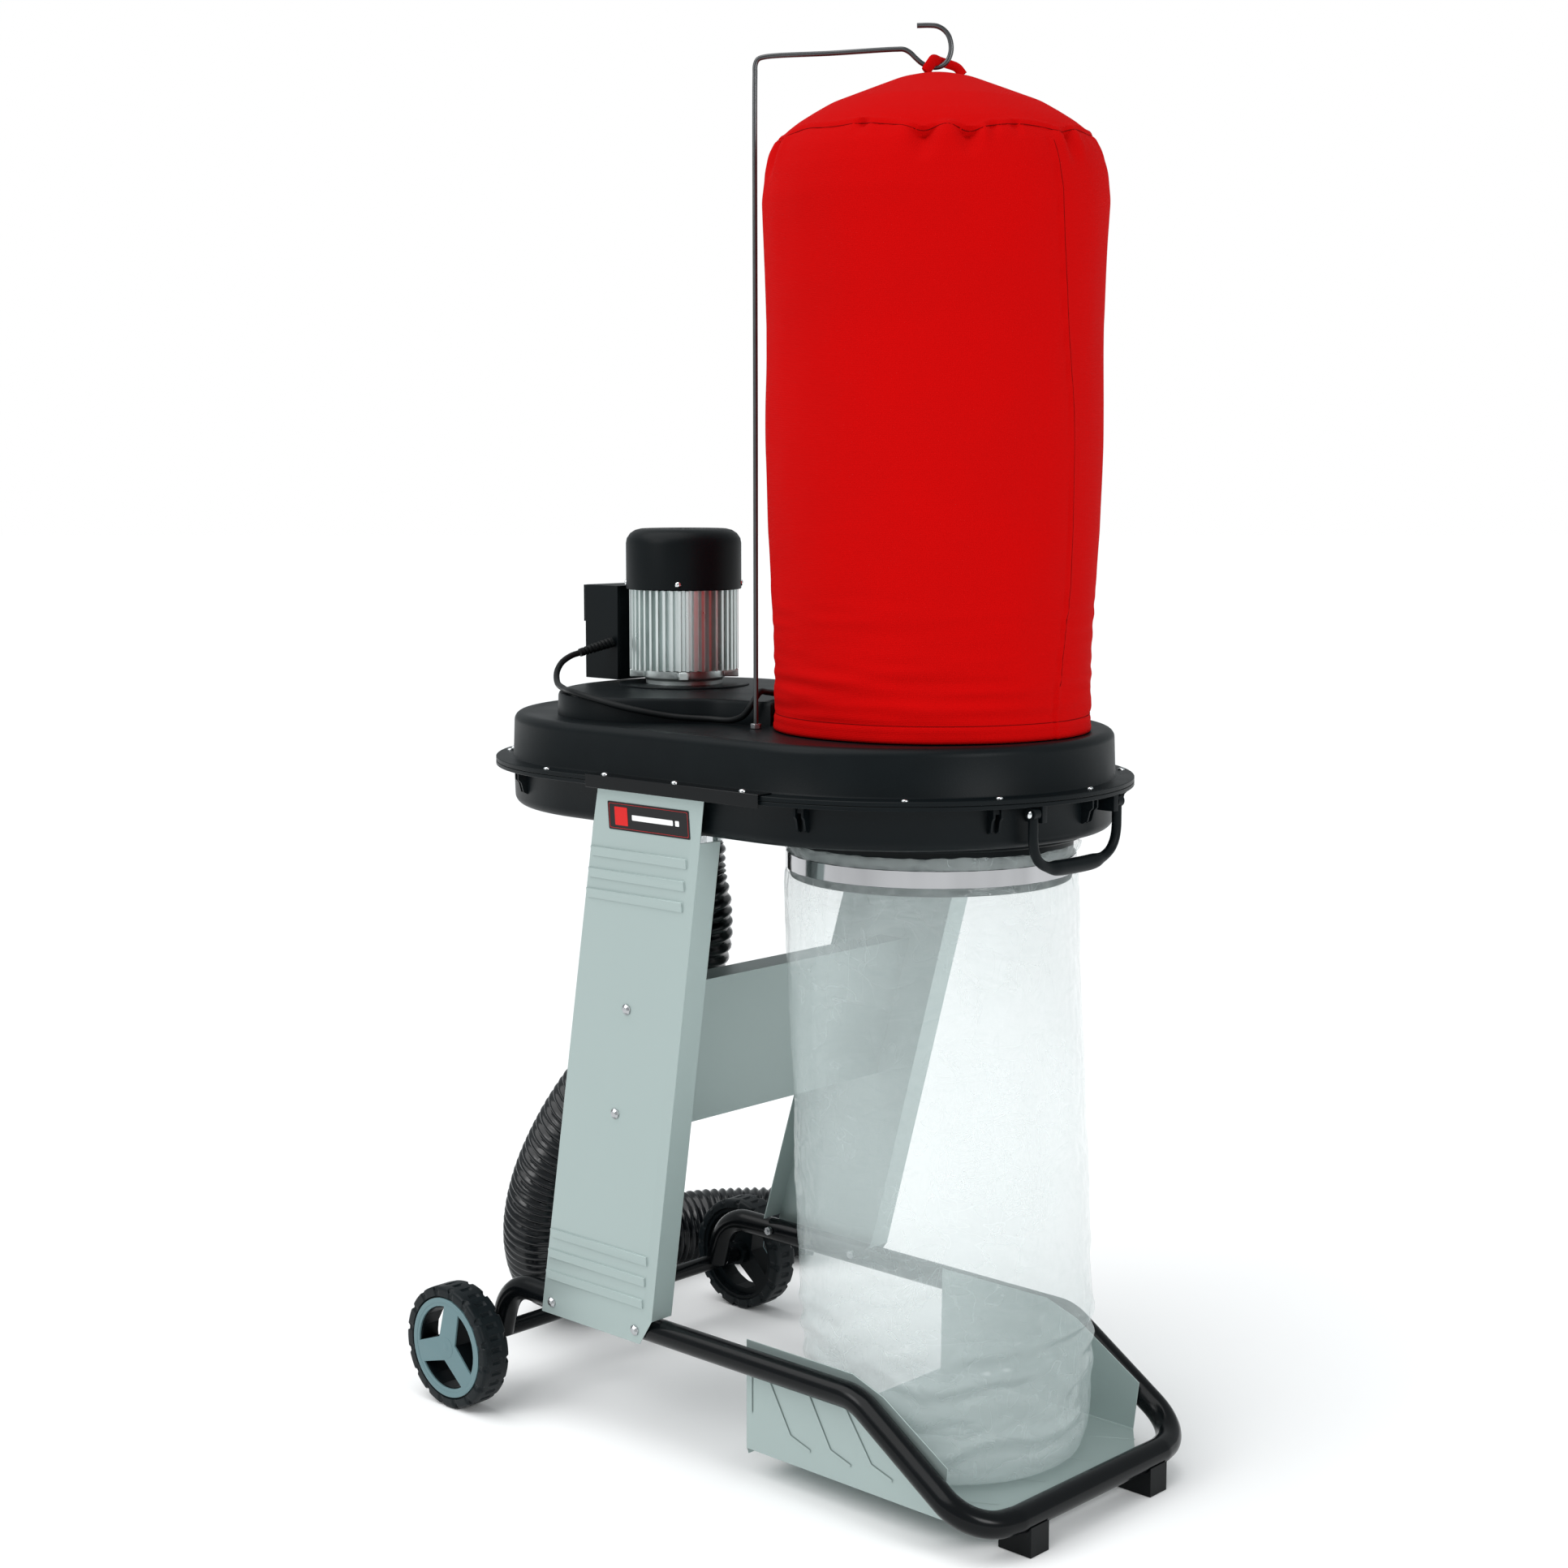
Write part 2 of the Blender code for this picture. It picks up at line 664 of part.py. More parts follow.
def volute_outline(inset):
    """The raised fan scroll round the motor, running on to the filter bag."""
    route = [
        (0.100, -0.104),
        (0.020, -0.119),
        (-0.044, -0.128),
        (-0.078, -0.155),
        (-0.130, -0.195),
        (-0.185, -0.214),
        (-0.240, -0.204),
        (-0.292, -0.166),
        (-0.333, -0.105),
        (-0.352, -0.030),
        (-0.345, 0.045),
        (-0.310, 0.105),
        (-0.255, 0.138),
        (-0.190, 0.148),
        (-0.120, 0.138),
        (-0.040, 0.112),
        (0.100, 0.104),
    ]
    path = smooth_path([(x, y, 0.0) for x, y in route], 0.028)
    outline = []
    for before, here, after in zip(path, path[1:], path[2:]):
        along = (after - before).normalized()
        outline.append((here.x + along.y * inset, here.y - along.x * inset))
    return [(path[0].x, path[0].y + inset), *outline, (path[-1].x, path[-1].y - inset)]


def bag_round(radius, low, high, sides=32):
    return cylinder((BAG_X, 0, low), (BAG_X, 0, high), radius, sides=sides)


def upper_housing():
    base, top = BODY_Z
    obj = pill(BODY_R, base, top, BODY_EDGE_R)
    join(obj, extruded([obround(FLANGE_R)], SPLIT_Z - 0.003, FLANGE_Z[1]))
    cut(obj, box((-0.6, -0.5, 0.7), (0.6, 0.5, SPLIT_Z)))
    scroll = extruded([volute_outline(0.0)], top - 0.008, VOLUTE_Z)
    cut(scroll, bag_round(0.1945, 0.85, 1.0))
    join(obj, scroll)
    join(obj, bag_round(COLLAR_R, top - 0.004, COLLAR_Z))
    cut(obj, pill(BODY_R - WALL, base - 0.02, top - WALL, BODY_EDGE_R - WALL))
    hollow = extruded([volute_outline(WALL)], top - 0.012, VOLUTE_Z - WALL)
    cut(hollow, bag_round(0.1945 + WALL, 0.85, 1.0))
    cut(obj, hollow)
    cut(obj, bag_round(COLLAR_R - WALL, top - 0.02, COLLAR_Z + 0.01))
    cut(obj, cylinder((MOTOR_X, 0, 0.93), (MOTOR_X, 0, 0.96), 0.014))
    cut(obj, cylinder((*ROD_FOOT.xy, 0.90), (*ROD_FOOT.xy, 0.93), ROD_R + 0.0004, sides=12))
    return piece(obj, "upper_housing", "plastic_black")


def lower_housing():
    base, top = BODY_Z
    flange_low = FLANGE_Z[0]
    split = SPLIT_Z - GAP
    obj = pill(BODY_R, base, top, BODY_EDGE_R)
    join(obj, extruded([obround(FLANGE_R)], flange_low, split + 0.003))
    cut(obj, box((-0.6, -0.5, split), (0.6, 0.5, 1.0)))
    join(obj, bag_round(LOWER_COLLAR_R, LOWER_COLLAR_Z, base + 0.003))
    spigot = cylinder((MOTOR_X, 0, SPIGOT_Z), (MOTOR_X, 0, base + 0.003), SPIGOT_R, sides=32)
    join(obj, spigot)
    inner = HANDLE_Y - HANDLE_R - 0.0012
    for side in (-1, 1):
        middle = side * (inner - 0.0045)
        join(obj, box((0.380, middle - 0.0045, 0.838), (0.4215, middle + 0.0045, flange_low + 0.002)))
        pin_end = (HANDLE_X, side * (HANDLE_Y + HANDLE_R + 0.002), HANDLE_Z)
        join(obj, cylinder((HANDLE_X, middle, HANDLE_Z), pin_end, 0.0025, sides=10))
    cut(obj, pill(BODY_R - WALL, base + WALL, top + 0.02, BODY_EDGE_R - WALL))
    cut(obj, bag_round(LOWER_COLLAR_R - WALL, LOWER_COLLAR_Z - 0.01, base + 0.02))
    cut(obj, cylinder((MOTOR_X, 0, SPIGOT_Z - 0.01), (MOTOR_X, 0, base + 0.02), SPIGOT_R - WALL, sides=32))
    return piece(obj, "lower_housing", "plastic_black")


def fan_scroll():
    """The spiral wall round the impeller, open towards the bags."""
    outer, inner = [], []
    steps = 22
    for k in range(steps + 1):
        turn = k / steps
        angle = math.radians(25 + 290 * turn)
        radius = 0.106 + 0.034 * turn
        for ring_points, r in ((outer, radius + 0.0025), (inner, radius)):
            ring_points.append((MOTOR_X + r * math.cos(angle), r * math.sin(angle)))
    obj = extruded([outer + inner[::-1]], BODY_Z[0] + WALL + GAP, BODY_Z[1] - WALL - GAP)
    piece(obj, "fan_scroll", "plastic_black")


def flange_rail(label, side):
    """A black steel strip folded over the straight part of the flange."""
    outline = [(0.2640, 0.8663), (0.2640, 0.8680), (0.2877, 0.8680), (0.2877, 0.8520), (0.2862, 0.8520), (0.2862, 0.8663)]
    outline = [(side * y, z) for y, z in outline]
    obj = extruded([outline], -RAIL_X[1], -RAIL_X[0], along="Y")
    obj.data.transform(obj.matrix_world)
    obj.matrix_world = Matrix.Rotation(math.pi / 2, 4, "Z")
    piece(obj, f"flange_rail_{label}", "frame_black")


# ---------------------------------------------------------------- fan and motor
def at_motor(z=0.0):
    return Vector((MOTOR_X, 0.0, z))


def blades(radius, hub, count, curl, thickness):
    """Outlines of a hub disc with curved blades, as one star."""
    outline = []
    for k in range(count):
        base = 2 * math.pi * k / count
        half = thickness / 2
        for r, aside in ((hub, -half), (radius, -half), (radius, half), (hub, half)):
            lag = curl * (r - hub) / (radius - hub)
            outline.append(
                (
                    r * math.cos(base - lag) - aside * math.sin(base - lag),
                    r * math.sin(base - lag) + aside * math.cos(base - lag),
                )
            )
    return outline


def impeller():
    plate = turned(
        [
            (0.017, 0.917),
            (0.017, 0.911),
            (0.094, 0.911),
            (0.094, 0.908),
            (0.017, 0.908),
            (0.017, 0.880),
            (SHAFT_R + GAP, 0.880),
            (SHAFT_R + GAP, 0.917),
        ],
        at_motor(),
        28,
        closed=True,
    )
    star = extruded([blades(0.092, 0.0165, 8, 0.5, 0.0022)], 0.864, 0.9095)
    star.location.x += MOTOR_X
    core = cylinder(at_motor(0.85), at_motor(0.95), 0.0145)
    cut(star, core)
    join(plate, star)
    piece(plate, "fan_impeller", "cast_aluminium")


def motor_shaft():
    profile = [
        (0.0, 1.136),
        (0.006, 1.136),
        (SHAFT_R, 1.120),
        (SHAFT_R, 0.879),
        (0.004, 0.879),
        (0.004, 0.868),
        (0.0, 0.868),
    ]
    piece(turned(profile, at_motor(), 16), "motor_shaft", "steel")
    nut = turned(
        [(0.0086, 0.8785), (0.0086, 0.870), (0.0050, 0.870), (0.0050, 0.8785)], at_motor(), 6, closed=True
    )
    piece(nut, "impeller_nut", "steel")


def motor_inside():
    piece(ring(SHAFT_R + GAP, 0.036, 0.995, 1.052, at_motor(), 32), "rotor_core", "copper_iron")
    piece(ring(0.0372, MOTOR_BORE_R - GAP, 0.988, 1.060, at_motor(), 32), "stator_core", "copper_iron")
    piece(ring(SHAFT_R + GAP, 0.0175, 0.9572, 0.968, at_motor(), 24), "lower_bearing", "steel")
    piece(ring(SHAFT_R + GAP, 0.0175, 1.0795, 1.0885, at_motor(), 24), "upper_bearing", "steel")
    hub = [(0.014, 1.133), (0.014, 1.113), (SHAFT_R + GAP, 1.113), (SHAFT_R + GAP, 1.133)]
    fan = turned(hub, at_motor(), 20, closed=True)
    star = extruded([blades(0.062, 0.0125, 8, 0.0, 0.002)], 1.1135, 1.1325)
    star.location.x += MOTOR_X
    cut(star, cylinder(at_motor(1.10), at_motor(1.15), 0.011))
    join(fan, star)
    piece(fan, "cooling_fan", "plastic_black")


def motor_body():
    """The finned aluminium tube."""
    outline = []
    for k in range(FIN_COUNT):
        for part, radius in ((-0.28, MOTOR_R - FIN_DEPTH), (-0.18, MOTOR_R), (0.18, MOTOR_R), (0.28, MOTOR_R - FIN_DEPTH)):
            angle = 2 * math.pi * (k + part) / FIN_COUNT
            outline.append((radius * math.cos(angle), radius * math.sin(angle)))
    bore = arc((0, 0), MOTOR_BORE_R, 0, 360 - 360 / 40, 39)
    obj = extruded([outline, bore], *MOTOR_Z)
    obj.location.x += MOTOR_X
    piece(obj, "motor_body", "cast_aluminium")


def end_shields():
    lower = turned(
        [
            (0.0535, 0.9732),
            (0.0535, 0.9625),
            (0.0505, 0.9600),
            (0.0505, 0.9523),
            (0.010, 0.9523),
            (0.010, 0.9569),
            (0.0178, 0.9569),
            (0.0178, 0.9732),
        ],
        at_motor(),
        32,
        closed=True,
    )
    for k in range(4):
        angle = math.radians(45 + 90 * k)
        lug = box((0.048, -0.0065, 0.9625), (0.0715, 0.0065, 0.9732))
        lug.rotation_euler = (0, 0, angle)
        lug.location = at_motor(0.96785)
        lug.data.transform(Matrix.Translation((0.05975, 0, 0)))
        join(lower, lug)
    piece(lower, "drive_end_shield", "cast_aluminium")
    upper = turned(
        [
            (0.0715, 1.0868),
            (0.0715, 1.0783),
            (0.010, 1.0783),
            (0.010, 1.0792),
            (0.0178, 1.0792),
            (0.0178, 1.0868),
        ],
        at_motor(),
        32,
        closed=True,
    )
    piece(upper, "fan_end_shield", "cast_aluminium")


def fan_cover():
    top = COVER_TOP_Z
    profile = [
        (0.0, top),
        (0.058, top),
        (0.068, top - 0.005),
        (COVER_R, top - 0.016),
        (COVER_R, MOTOR_Z[1] + GAP),
        (COVER_R - 0.0025, MOTOR_Z[1] + GAP),
        (COVER_R - 0.0025, top - 0.017),
        (0.066, top - 0.0075),
        (0.057, top - 0.0025),
        (0.0, top - 0.0025),
    ]
    obj = turned(profile, at_motor(), 32)
    for k in range(12):
        slot = box((0.020, -0.0022, top - 0.02), (0.054, 0.0022, top + 0.01))
        slot.data.transform(Matrix.Translation(slot.location))
        slot.location = at_motor()
        slot.rotation_euler = (0, 0, 2 * math.pi * k / 12)
        cut(obj, slot)
    piece(obj, "fan_cover", "plastic_black")


def switch_box():
    rear, front = BOX_X
    low, high = BOX_Z
    obj = box((rear, -BOX_Y, low), (front, BOX_Y, high))
    join(obj, box((rear - 0.016, -0.036, 1.031), (rear + 0.002, 0.036, 1.080)))
    join(obj, box((front - 0.001, -0.018, 0.985), (front + 0.0040, 0.018, 1.065)))
    cut(obj, box((rear + 0.0025, -BOX_Y - 0.01, low + 0.0025), (front - 0.0025, BOX_Y - 0.0025, high - 0.0025)))
    cut(obj, box((rear - 0.03, -0.0113, 1.0427), (rear + 0.004, 0.0113, 1.0683)))
    cut(obj, box((rear - 0.03, -0.0113, 0.9857), (rear + 0.004, 0.0113, 1.0113)))
    piece(obj, "switch_box", "plastic_black")
    lid = box((rear, -BOX_Y - 0.003, low), (front, -BOX_Y - GAP, high))
    piece(lid, "switch_box_lid", "plastic_black")
    start = box((-0.009, -0.011, -0.0125), (0.009, 0.011, 0.0125))
    start.location = (rear - 0.0095, 0, 1.0555)
    piece(start, "start_button", "button_green")
    stop = box((-0.007, -0.011, -0.0125), (0.007, 0.011, 0.0125))
    stop.location = (rear + 0.0025, 0, 0.9985)
    piece(stop, "stop_button", "button_red")
    capacitor = cylinder((-0.332, 0.016, low + 0.006), (-0.332, 0.016, low + 0.075), 0.017)
    piece(capacitor, "run_capacitor", "cast_aluminium")


# ---------------------------------------------------------------- bags, clamp and hanger
def filter_bag():
    outer = [
        (0.030, 1.692),
        (0.071, 1.676),
        (0.127, 1.654),
        (0.163, 1.632),
        (0.1875, 1.610),
        (0.200, 1.585),
        (0.2040, 1.544),
        (0.2015, 1.45),
        (0.1995, 1.26),
        (0.1955, 1.10),
        (0.191, 1.02),
        (0.190, 0.97),
        (0.1905, BODY_Z[1] + GAP),
    ]
    wall = FILTER_BAG_WALL
    inner = [(r - wall, z - wall if z > 1.6 else z) for r, z in reversed(outer)]
    obj = turned([(0.0, 1.693)] + outer + inner + [(0.0, 1.6915 - 2 * wall)], (BAG_X, 0, 0), 28)
    piece(obj, "filter_bag", "red_fabric")


def hanging_loop():
    """The fabric loop on top of the filter bag, laid over the rod's hook."""
    route = [
        (0.200, 1.6962, -0.017),
        (0.2040, 1.7015, -0.0135),
        (0.2085, 1.7068, -0.0075),
        (0.213, 1.7080, 0.0),
        (0.2165, 1.7068, 0.0078),
        (0.224, 1.7055, 0.0118),
        (0.236, 1.7025, 0.0125),
        (0.244, 1.6965, 0.0115),
    ]
    path = [rod_plane_point(along, height, aside) for along, height, aside in route]
    piece(tube(path, 0.0030, resolution=2), "hanging_loop", "red_fabric")


def hanger_rod():
    upright = [(0.0, ROD_FOOT.z), (0.0, 1.300), (0.0, 1.698), (0.003, 1.7065), (0.011, 1.7105)]
    hook = [
        (0.090, 1.7150),
        (0.170, 1.7195),
        (0.178, 1.7192),
        (0.185, 1.7150),
        (0.193, 1.7065),
        (0.201, 1.7010),
        (0.210, 1.6990),
        (0.2190, 1.7010),
        (0.2250, 1.7070),
        (0.2285, 1.7160),
        (0.2290, 1.7260),
        (0.2255, 1.7360),
        (0.2185, 1.7430),
        (0.2090, 1.7468),
        (0.1990, 1.7470),
        (0.1890, 1.7466),
    ]
    path = [rod_plane_point(along, height) for along, height in upright + hook]
    piece(tube(path, ROD_R, resolution=1), "hanger_rod", "steel")
    foot_z = BODY_Z[1] + GAP
    nut_profile = [(0.0068, 0.006), (0.0068, 0.0), (ROD_R + 0.0010, 0.0), (ROD_R + 0.0010, 0.006)]
    nut = turned(nut_profile, (*ROD_FOOT.xy, foot_z), 6, closed=True)
    piece(nut, "rod_nut", "steel")


def collection_bag():
    """The clear bag below the housing: its mouth round the collar, its foot on the tray."""
    outer = [
        (0.1742, 0.790),
        (0.1742, 0.752),
        (0.1780, 0.722),
        (0.1785, 0.52),
        (0.1785, 0.25),
        (0.1770, 0.15),
        (0.1690, 0.085),
        (0.1500, 0.052),
        (0.1200, TRAY_FLOOR_Z + TRAY_SHEET + 0.0010),
    ]
    wall = CLEAR_BAG_WALL
    floor = TRAY_FLOOR_Z + TRAY_SHEET + 0.0010
    inner = [(r - wall, z + wall if z < 0.06 else z) for r, z in reversed(outer)]
    profile = [(0.0, floor + wall)] + inner + outer + [(0.0, floor)]
    return turned(profile, (BAG_X, 0, 0), 32)


def leaning_bag():
    obj = collection_bag()
    graph = bpy.context.evaluated_depsgraph_get()
    mesh = bpy.data.meshes.new_from_object(obj.evaluated_get(graph))
    bpy.data.objects.remove(obj, do_unlink=True)
    for vertex in mesh.vertices:
        vertex.co.x += CLEAR_BAG_LEAN * max(0.0, CLAMP_Z[0] - 0.02 - vertex.co.z)
    made = put(bpy.data.objects.new("collection_bag", mesh), "cutters")
    made.location = (BAG_X, 0, 0)
    piece(made, "collection_bag", "clear_film")


def clamp_band():
    """The steel strap round the clear bag's mouth, with its over-centre lever on the side of the legs."""
    low, high = CLAMP_Z
    band = ring(CLAMP_R - 0.0008, CLAMP_R + 0.0007, low, high, (BAG_X, 0, 0), 32)
    hinge_x = BAG_X - CLAMP_R - 0.0055
    join(band, box((hinge_x + 0.0015, -0.006, low + 0.003), (BAG_X - CLAMP_R + 0.0002, 0.006, high - 0.003)))
    pin = cylinder((hinge_x, 0, low + 0.0002), (hinge_x, 0, high - 0.0002), 0.0022, sides=12)
    join(band, pin)
    piece(band, "clamp_band", "bright_steel")
    middle = (low + high) / 2
    lever = box((-0.0030, 0.0045, -0.0098), (0.0, 0.050, 0.0098))
    lever.data.transform(Matrix.Translation(lever.location))
    lever.location = (hinge_x, 0, middle)
    for z in (-0.0098, 0.0078):
        knuckle = box((hinge_x - 0.0031, -0.0031, middle + z), (hinge_x + 0.0031, 0.006, middle + z + 0.0020))
        join(lever, knuckle)
    cut(lever, cylinder((hinge_x, 0, low - 0.01), (hinge_x, 0, high + 0.01), 0.0026, sides=12))
    piece(lever, "clamp_lever", "bright_steel")


# ---------------------------------------------------------------- handle
def handle_path():
    """The U of the carry handle, from one pivot eye to the other."""
    half = [
        (HANDLE_Y, HANDLE_Z - 0.002),
        (HANDLE_Y, 0.812),
        (HANDLE_Y - 0.010, 0.796),
        (HANDLE_Y - 0.028, 0.785),
        (HANDLE_Y - 0.050, 0.7805),
        (0.0, 0.7795),
    ]
    far = [(-y, z) for y, z in half[:-1]]
    return [Vector((HANDLE_X, -y, z)) for y, z in half] + [Vector((HANDLE_X, -y, z)) for y, z in reversed(far)]


def carry_handle():
    path = handle_path()
    obj = solid(tube(path, HANDLE_R, resolution=2))
    grip_profile = [(0.0, 0.046), (0.006, 0.046), (0.0085, 0.025), (0.0095, 0.0), (0.0085, -0.025), (0.006, -0.046)]
    grip_profile.append((0.0, -0.046))
    grip = turned(grip_profile, sides=12)
    grip.rotation_euler = (math.pi / 2, 0, 0)
    grip.location = (HANDLE_X, 0, 0.7795)
    join(obj, grip)
    for side in (-1, 1):
        start = (HANDLE_X, side * (HANDLE_Y - HANDLE_R + 0.001), HANDLE_Z)
        end = (HANDLE_X, side * (HANDLE_Y + HANDLE_R - 0.001), HANDLE_Z)
        join(obj, cylinder(start, end, 0.0072, sides=16))
        reach = 0.02
        drill_start = (HANDLE_X, side * (HANDLE_Y - reach), HANDLE_Z)
        cut(obj, cylinder(drill_start, (HANDLE_X, side * (HANDLE_Y + reach), HANDLE_Z), 0.0028, sides=12))
    piece(obj, "carry_handle", "plastic_black")


# ---------------------------------------------------------------- hose and cord
HOSE_ROUTE = [
    (-0.229, 0.000, SPIGOT_Z - 4 * GAP),
    (-0.229, 0.000, 0.700),
    (-0.223, 0.005, 0.655),
    (-0.2265, 0.006, 0.600),
    (-0.258, -0.010, 0.520),
    (-0.326, -0.037, 0.425),
    (-0.394, -0.054, 0.330),
    (-0.448, -0.054, 0.240),
    (-0.486, -0.037, 0.160),
    (-0.520, 0.006, 0.092),
    (-0.556, 0.070, 0.060),
    (-0.590, 0.145, 0.056),
    (-0.610, 0.225, 0.056),
    (-0.608, 0.308, 0.056),
    (-0.580, 0.385, 0.056),
    (-0.530, 0.448, 0.056),
    (-0.503, 0.471, 0.056),
]
CORD_ROUTE = [
    (-0.3265, -0.0985, 0.9936),
    (-0.3293, -0.1090, 0.9907),
    (-0.3300, -0.1240, 0.9835),
    (-0.3210, -0.1415, 0.9730),
    (-0.2960, -0.1640, 0.9610),
    (-0.2500, -0.1930, 0.9568),
    (-0.2080, -0.2165, 0.9568),
    (-0.1620, -0.2180, 0.9500),
    (-0.1180, -0.2010, 0.9400),
    (-0.0760, -0.1680, 0.9310),
    (-0.0380, -0.1400, 0.9284),
    (-0.0080, -0.1350, 0.9290),
    (0.0130, -0.1345, 0.9370),
    (0.0220, -0.1300, 0.9515),
    (0.0190, -0.1145, 0.9635),
    (0.0100, -0.0900, 0.9615),
    (0.0030, -0.0600, 0.9570),
    (-0.0080, -0.0200, 0.9568),
    (-0.0090, 0.0250, 0.9568),
    (-0.0020, 0.0600, 0.9572),
    (0.0040, 0.0880, 0.9600),
    (0.0070, 0.1100, 0.9600),
    (0.0085, 0.1270, 0.9530),
    (0.0100, 0.1400, 0.9480),
]


def hose():
    piece(tube(smooth_path(HOSE_ROUTE, 0.030), HOSE_R, resolution=4), "suction_hose", "hose_black")
    low = SPIGOT_Z + 0.004
    clamp = ring(SPIGOT_R + GAP, SPIGOT_R + 0.0022, low, low + 0.010, at_motor(), 32)
    piece(clamp, "hose_clamp", "bright_steel")
    end = Vector(HOSE_ROUTE[-1])
    along = (smooth_path(HOSE_ROUTE, 0.004)[-1] - smooth_path(HOSE_ROUTE, 0.004)[-2]).normalized()
    along.z = 0.0
    profile = [
        (0.0500, 0.055),
        (0.0515, 0.026),
        (0.0545, 0.024),
        (0.0545, 0.0006),
        (0.0460, 0.0006),
        (0.0460, 0.055),
    ]
    connector = turned(profile, sides=32, closed=True)
    aim(connector, end, along.normalized())
    piece(connector, "hose_connector", "plastic_black")


def cord():
    piece(tube(smooth_path(CORD_ROUTE, 0.0105), CORD_R, resolution=2), "power_cord", "rubber")
    start = Vector(CORD_ROUTE[0])
    boot_start = Vector((-0.3140, -BOX_Y - 0.0062, 1.0064))
    boot_end = start - (start - boot_start).normalized() * 2 * GAP
    relief = cylinder(boot_start, boot_end, 0.0075, 0.0055, sides=14)
    piece(relief, "cord_strain_relief", "rubber")
    coil_profile = [
        (COIL_R + 0.4 * COIL_TUBE_R, 2 * COIL_TUBE_R),
        (COIL_R + COIL_TUBE_R, 1.4 * COIL_TUBE_R),
        (COIL_R + COIL_TUBE_R, 0.6 * COIL_TUBE_R),
        (COIL_R + 0.4 * COIL_TUBE_R, 0.0),
        (COIL_R - 0.4 * COIL_TUBE_R, 0.0),
        (COIL_R - COIL_TUBE_R, 0.6 * COIL_TUBE_R),
        (COIL_R - COIL_TUBE_R, 1.4 * COIL_TUBE_R),
        (COIL_R - 0.4 * COIL_TUBE_R, 2 * COIL_TUBE_R),
    ]
    piece(turned(coil_profile, COIL_CENTRE, 24, closed=True), "cord_coil", "rubber")


def plug():
    """The mains plug, lying inside the coil."""
    floor = COIL_CENTRE.z
    obj = cylinder((-0.010, 0.186, floor + 0.0165), (0.024, 0.186, floor + 0.0165), 0.0160, 0.0145, sides=20)
    for side in (-1, 1):
        pin = cylinder((0.022, 0.186 + side * 0.0095, floor + 0.0165), (0.036, 0.186 + side * 0.0095, floor + 0.0165), 0.0024, sides=10)
        join(obj, pin)
    piece(obj, "power_plug", "rubber")


# ---------------------------------------------------------------- the whole machine
def build():
    empty_scene()
    base_frame()
    axle()
    for label, side in BOTH_SIDES:
        wheel(label, side)
        foot(label, side)
        side_leg(label, side)
        flange_rail(label, side)
    leg_bolts()
    cross_panel()
    dust_tray()
    lower_housing()
    upper_housing()
    fan_scroll()
    impeller()
    motor_shaft()
    motor_inside()
    motor_body()
    end_shields()
    fan_cover()
    switch_box()
    filter_bag()
    hanging_loop()
    hanger_rod()
    leaning_bag()
    clamp_band()
    carry_handle()
    hose()
    cord()
    plug()


build()
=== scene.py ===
"""Looks of the dust collector: camera, light, materials, cloth, film, and finer versions of the CAD pieces.

Frame: metres, +Z up, origin on the floor under the machine, +X to the bag tray, -Y to the label's side.
"""

import json
import math

import bmesh
import bpy
import numpy as np
from mathutils import Matrix, Vector, noise


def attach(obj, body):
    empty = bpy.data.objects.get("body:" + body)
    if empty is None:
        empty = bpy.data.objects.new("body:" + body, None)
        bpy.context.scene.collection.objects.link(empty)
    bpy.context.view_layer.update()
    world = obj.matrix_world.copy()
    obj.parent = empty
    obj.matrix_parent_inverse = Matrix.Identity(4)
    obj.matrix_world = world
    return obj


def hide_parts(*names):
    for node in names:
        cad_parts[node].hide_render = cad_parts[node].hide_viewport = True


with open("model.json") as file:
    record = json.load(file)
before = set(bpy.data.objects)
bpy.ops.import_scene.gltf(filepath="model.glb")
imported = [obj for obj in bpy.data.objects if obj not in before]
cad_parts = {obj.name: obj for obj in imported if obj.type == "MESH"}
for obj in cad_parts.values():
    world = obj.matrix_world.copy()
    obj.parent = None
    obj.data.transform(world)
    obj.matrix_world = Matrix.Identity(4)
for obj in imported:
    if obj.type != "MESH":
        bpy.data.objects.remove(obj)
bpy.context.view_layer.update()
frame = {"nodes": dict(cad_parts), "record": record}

BAG_X = 0.197
MOTOR_X = -0.229
DECK_X = -0.013
DECK_HALF = 0.1583
FLANGE_TOP = 0.866
FLANGE_FOOT = 0.8553
COWL_TOP = 1.157
STAR_BACK = 0.2915
FRAME_Y = 0.205
FRAME_Z = 0.157
AXLE_X = -0.3845
AXLE_Z = 0.0815
HANDLE_X = 0.414
HANDLE_Z = 0.847
ROD_FOOT = Vector((0.045, -0.148, 0.0))
ROD_AHEAD = Vector((0.152, 0.148, 0.0)).normalized()
BAND_LOW, BAND_HIGH = 0.754, 0.778
HEM_Z = 0.944
CAP_Z = 1.6
EDGE_ANGLE = 35.0
# Each pucker: angle in degrees, half width in radians, depth, and its reach down from the shoulder seam.
PUCKERS = [
    (-123.0, 0.07, 0.013, 0.05),
    (-76.5, 0.035, 0.006, 0.018),
    (-54.4, 0.06, 0.013, 0.04),
    (-39.4, 0.055, 0.012, 0.034),
    (-31.0, 0.03, 0.005, 0.028),
    (-22.0, 0.025, 0.004, 0.022),
    (2.0, 0.05, 0.012, 0.045),
    (35.0, 0.06, 0.008, 0.035),
    (75.0, 0.06, 0.01, 0.04),
    (118.0, 0.06, 0.008, 0.035),
    (165.0, 0.07, 0.01, 0.04),
    (205.0, 0.06, 0.008, 0.035),
]
# The upright seam's angle in degrees at each height.
SEAM_HEIGHTS = [0.98, 1.1, 1.3, 1.5, 1.6]
SEAM_ANGLES = [-1.0, 3.2, 1.8, -5.2, -8.5]


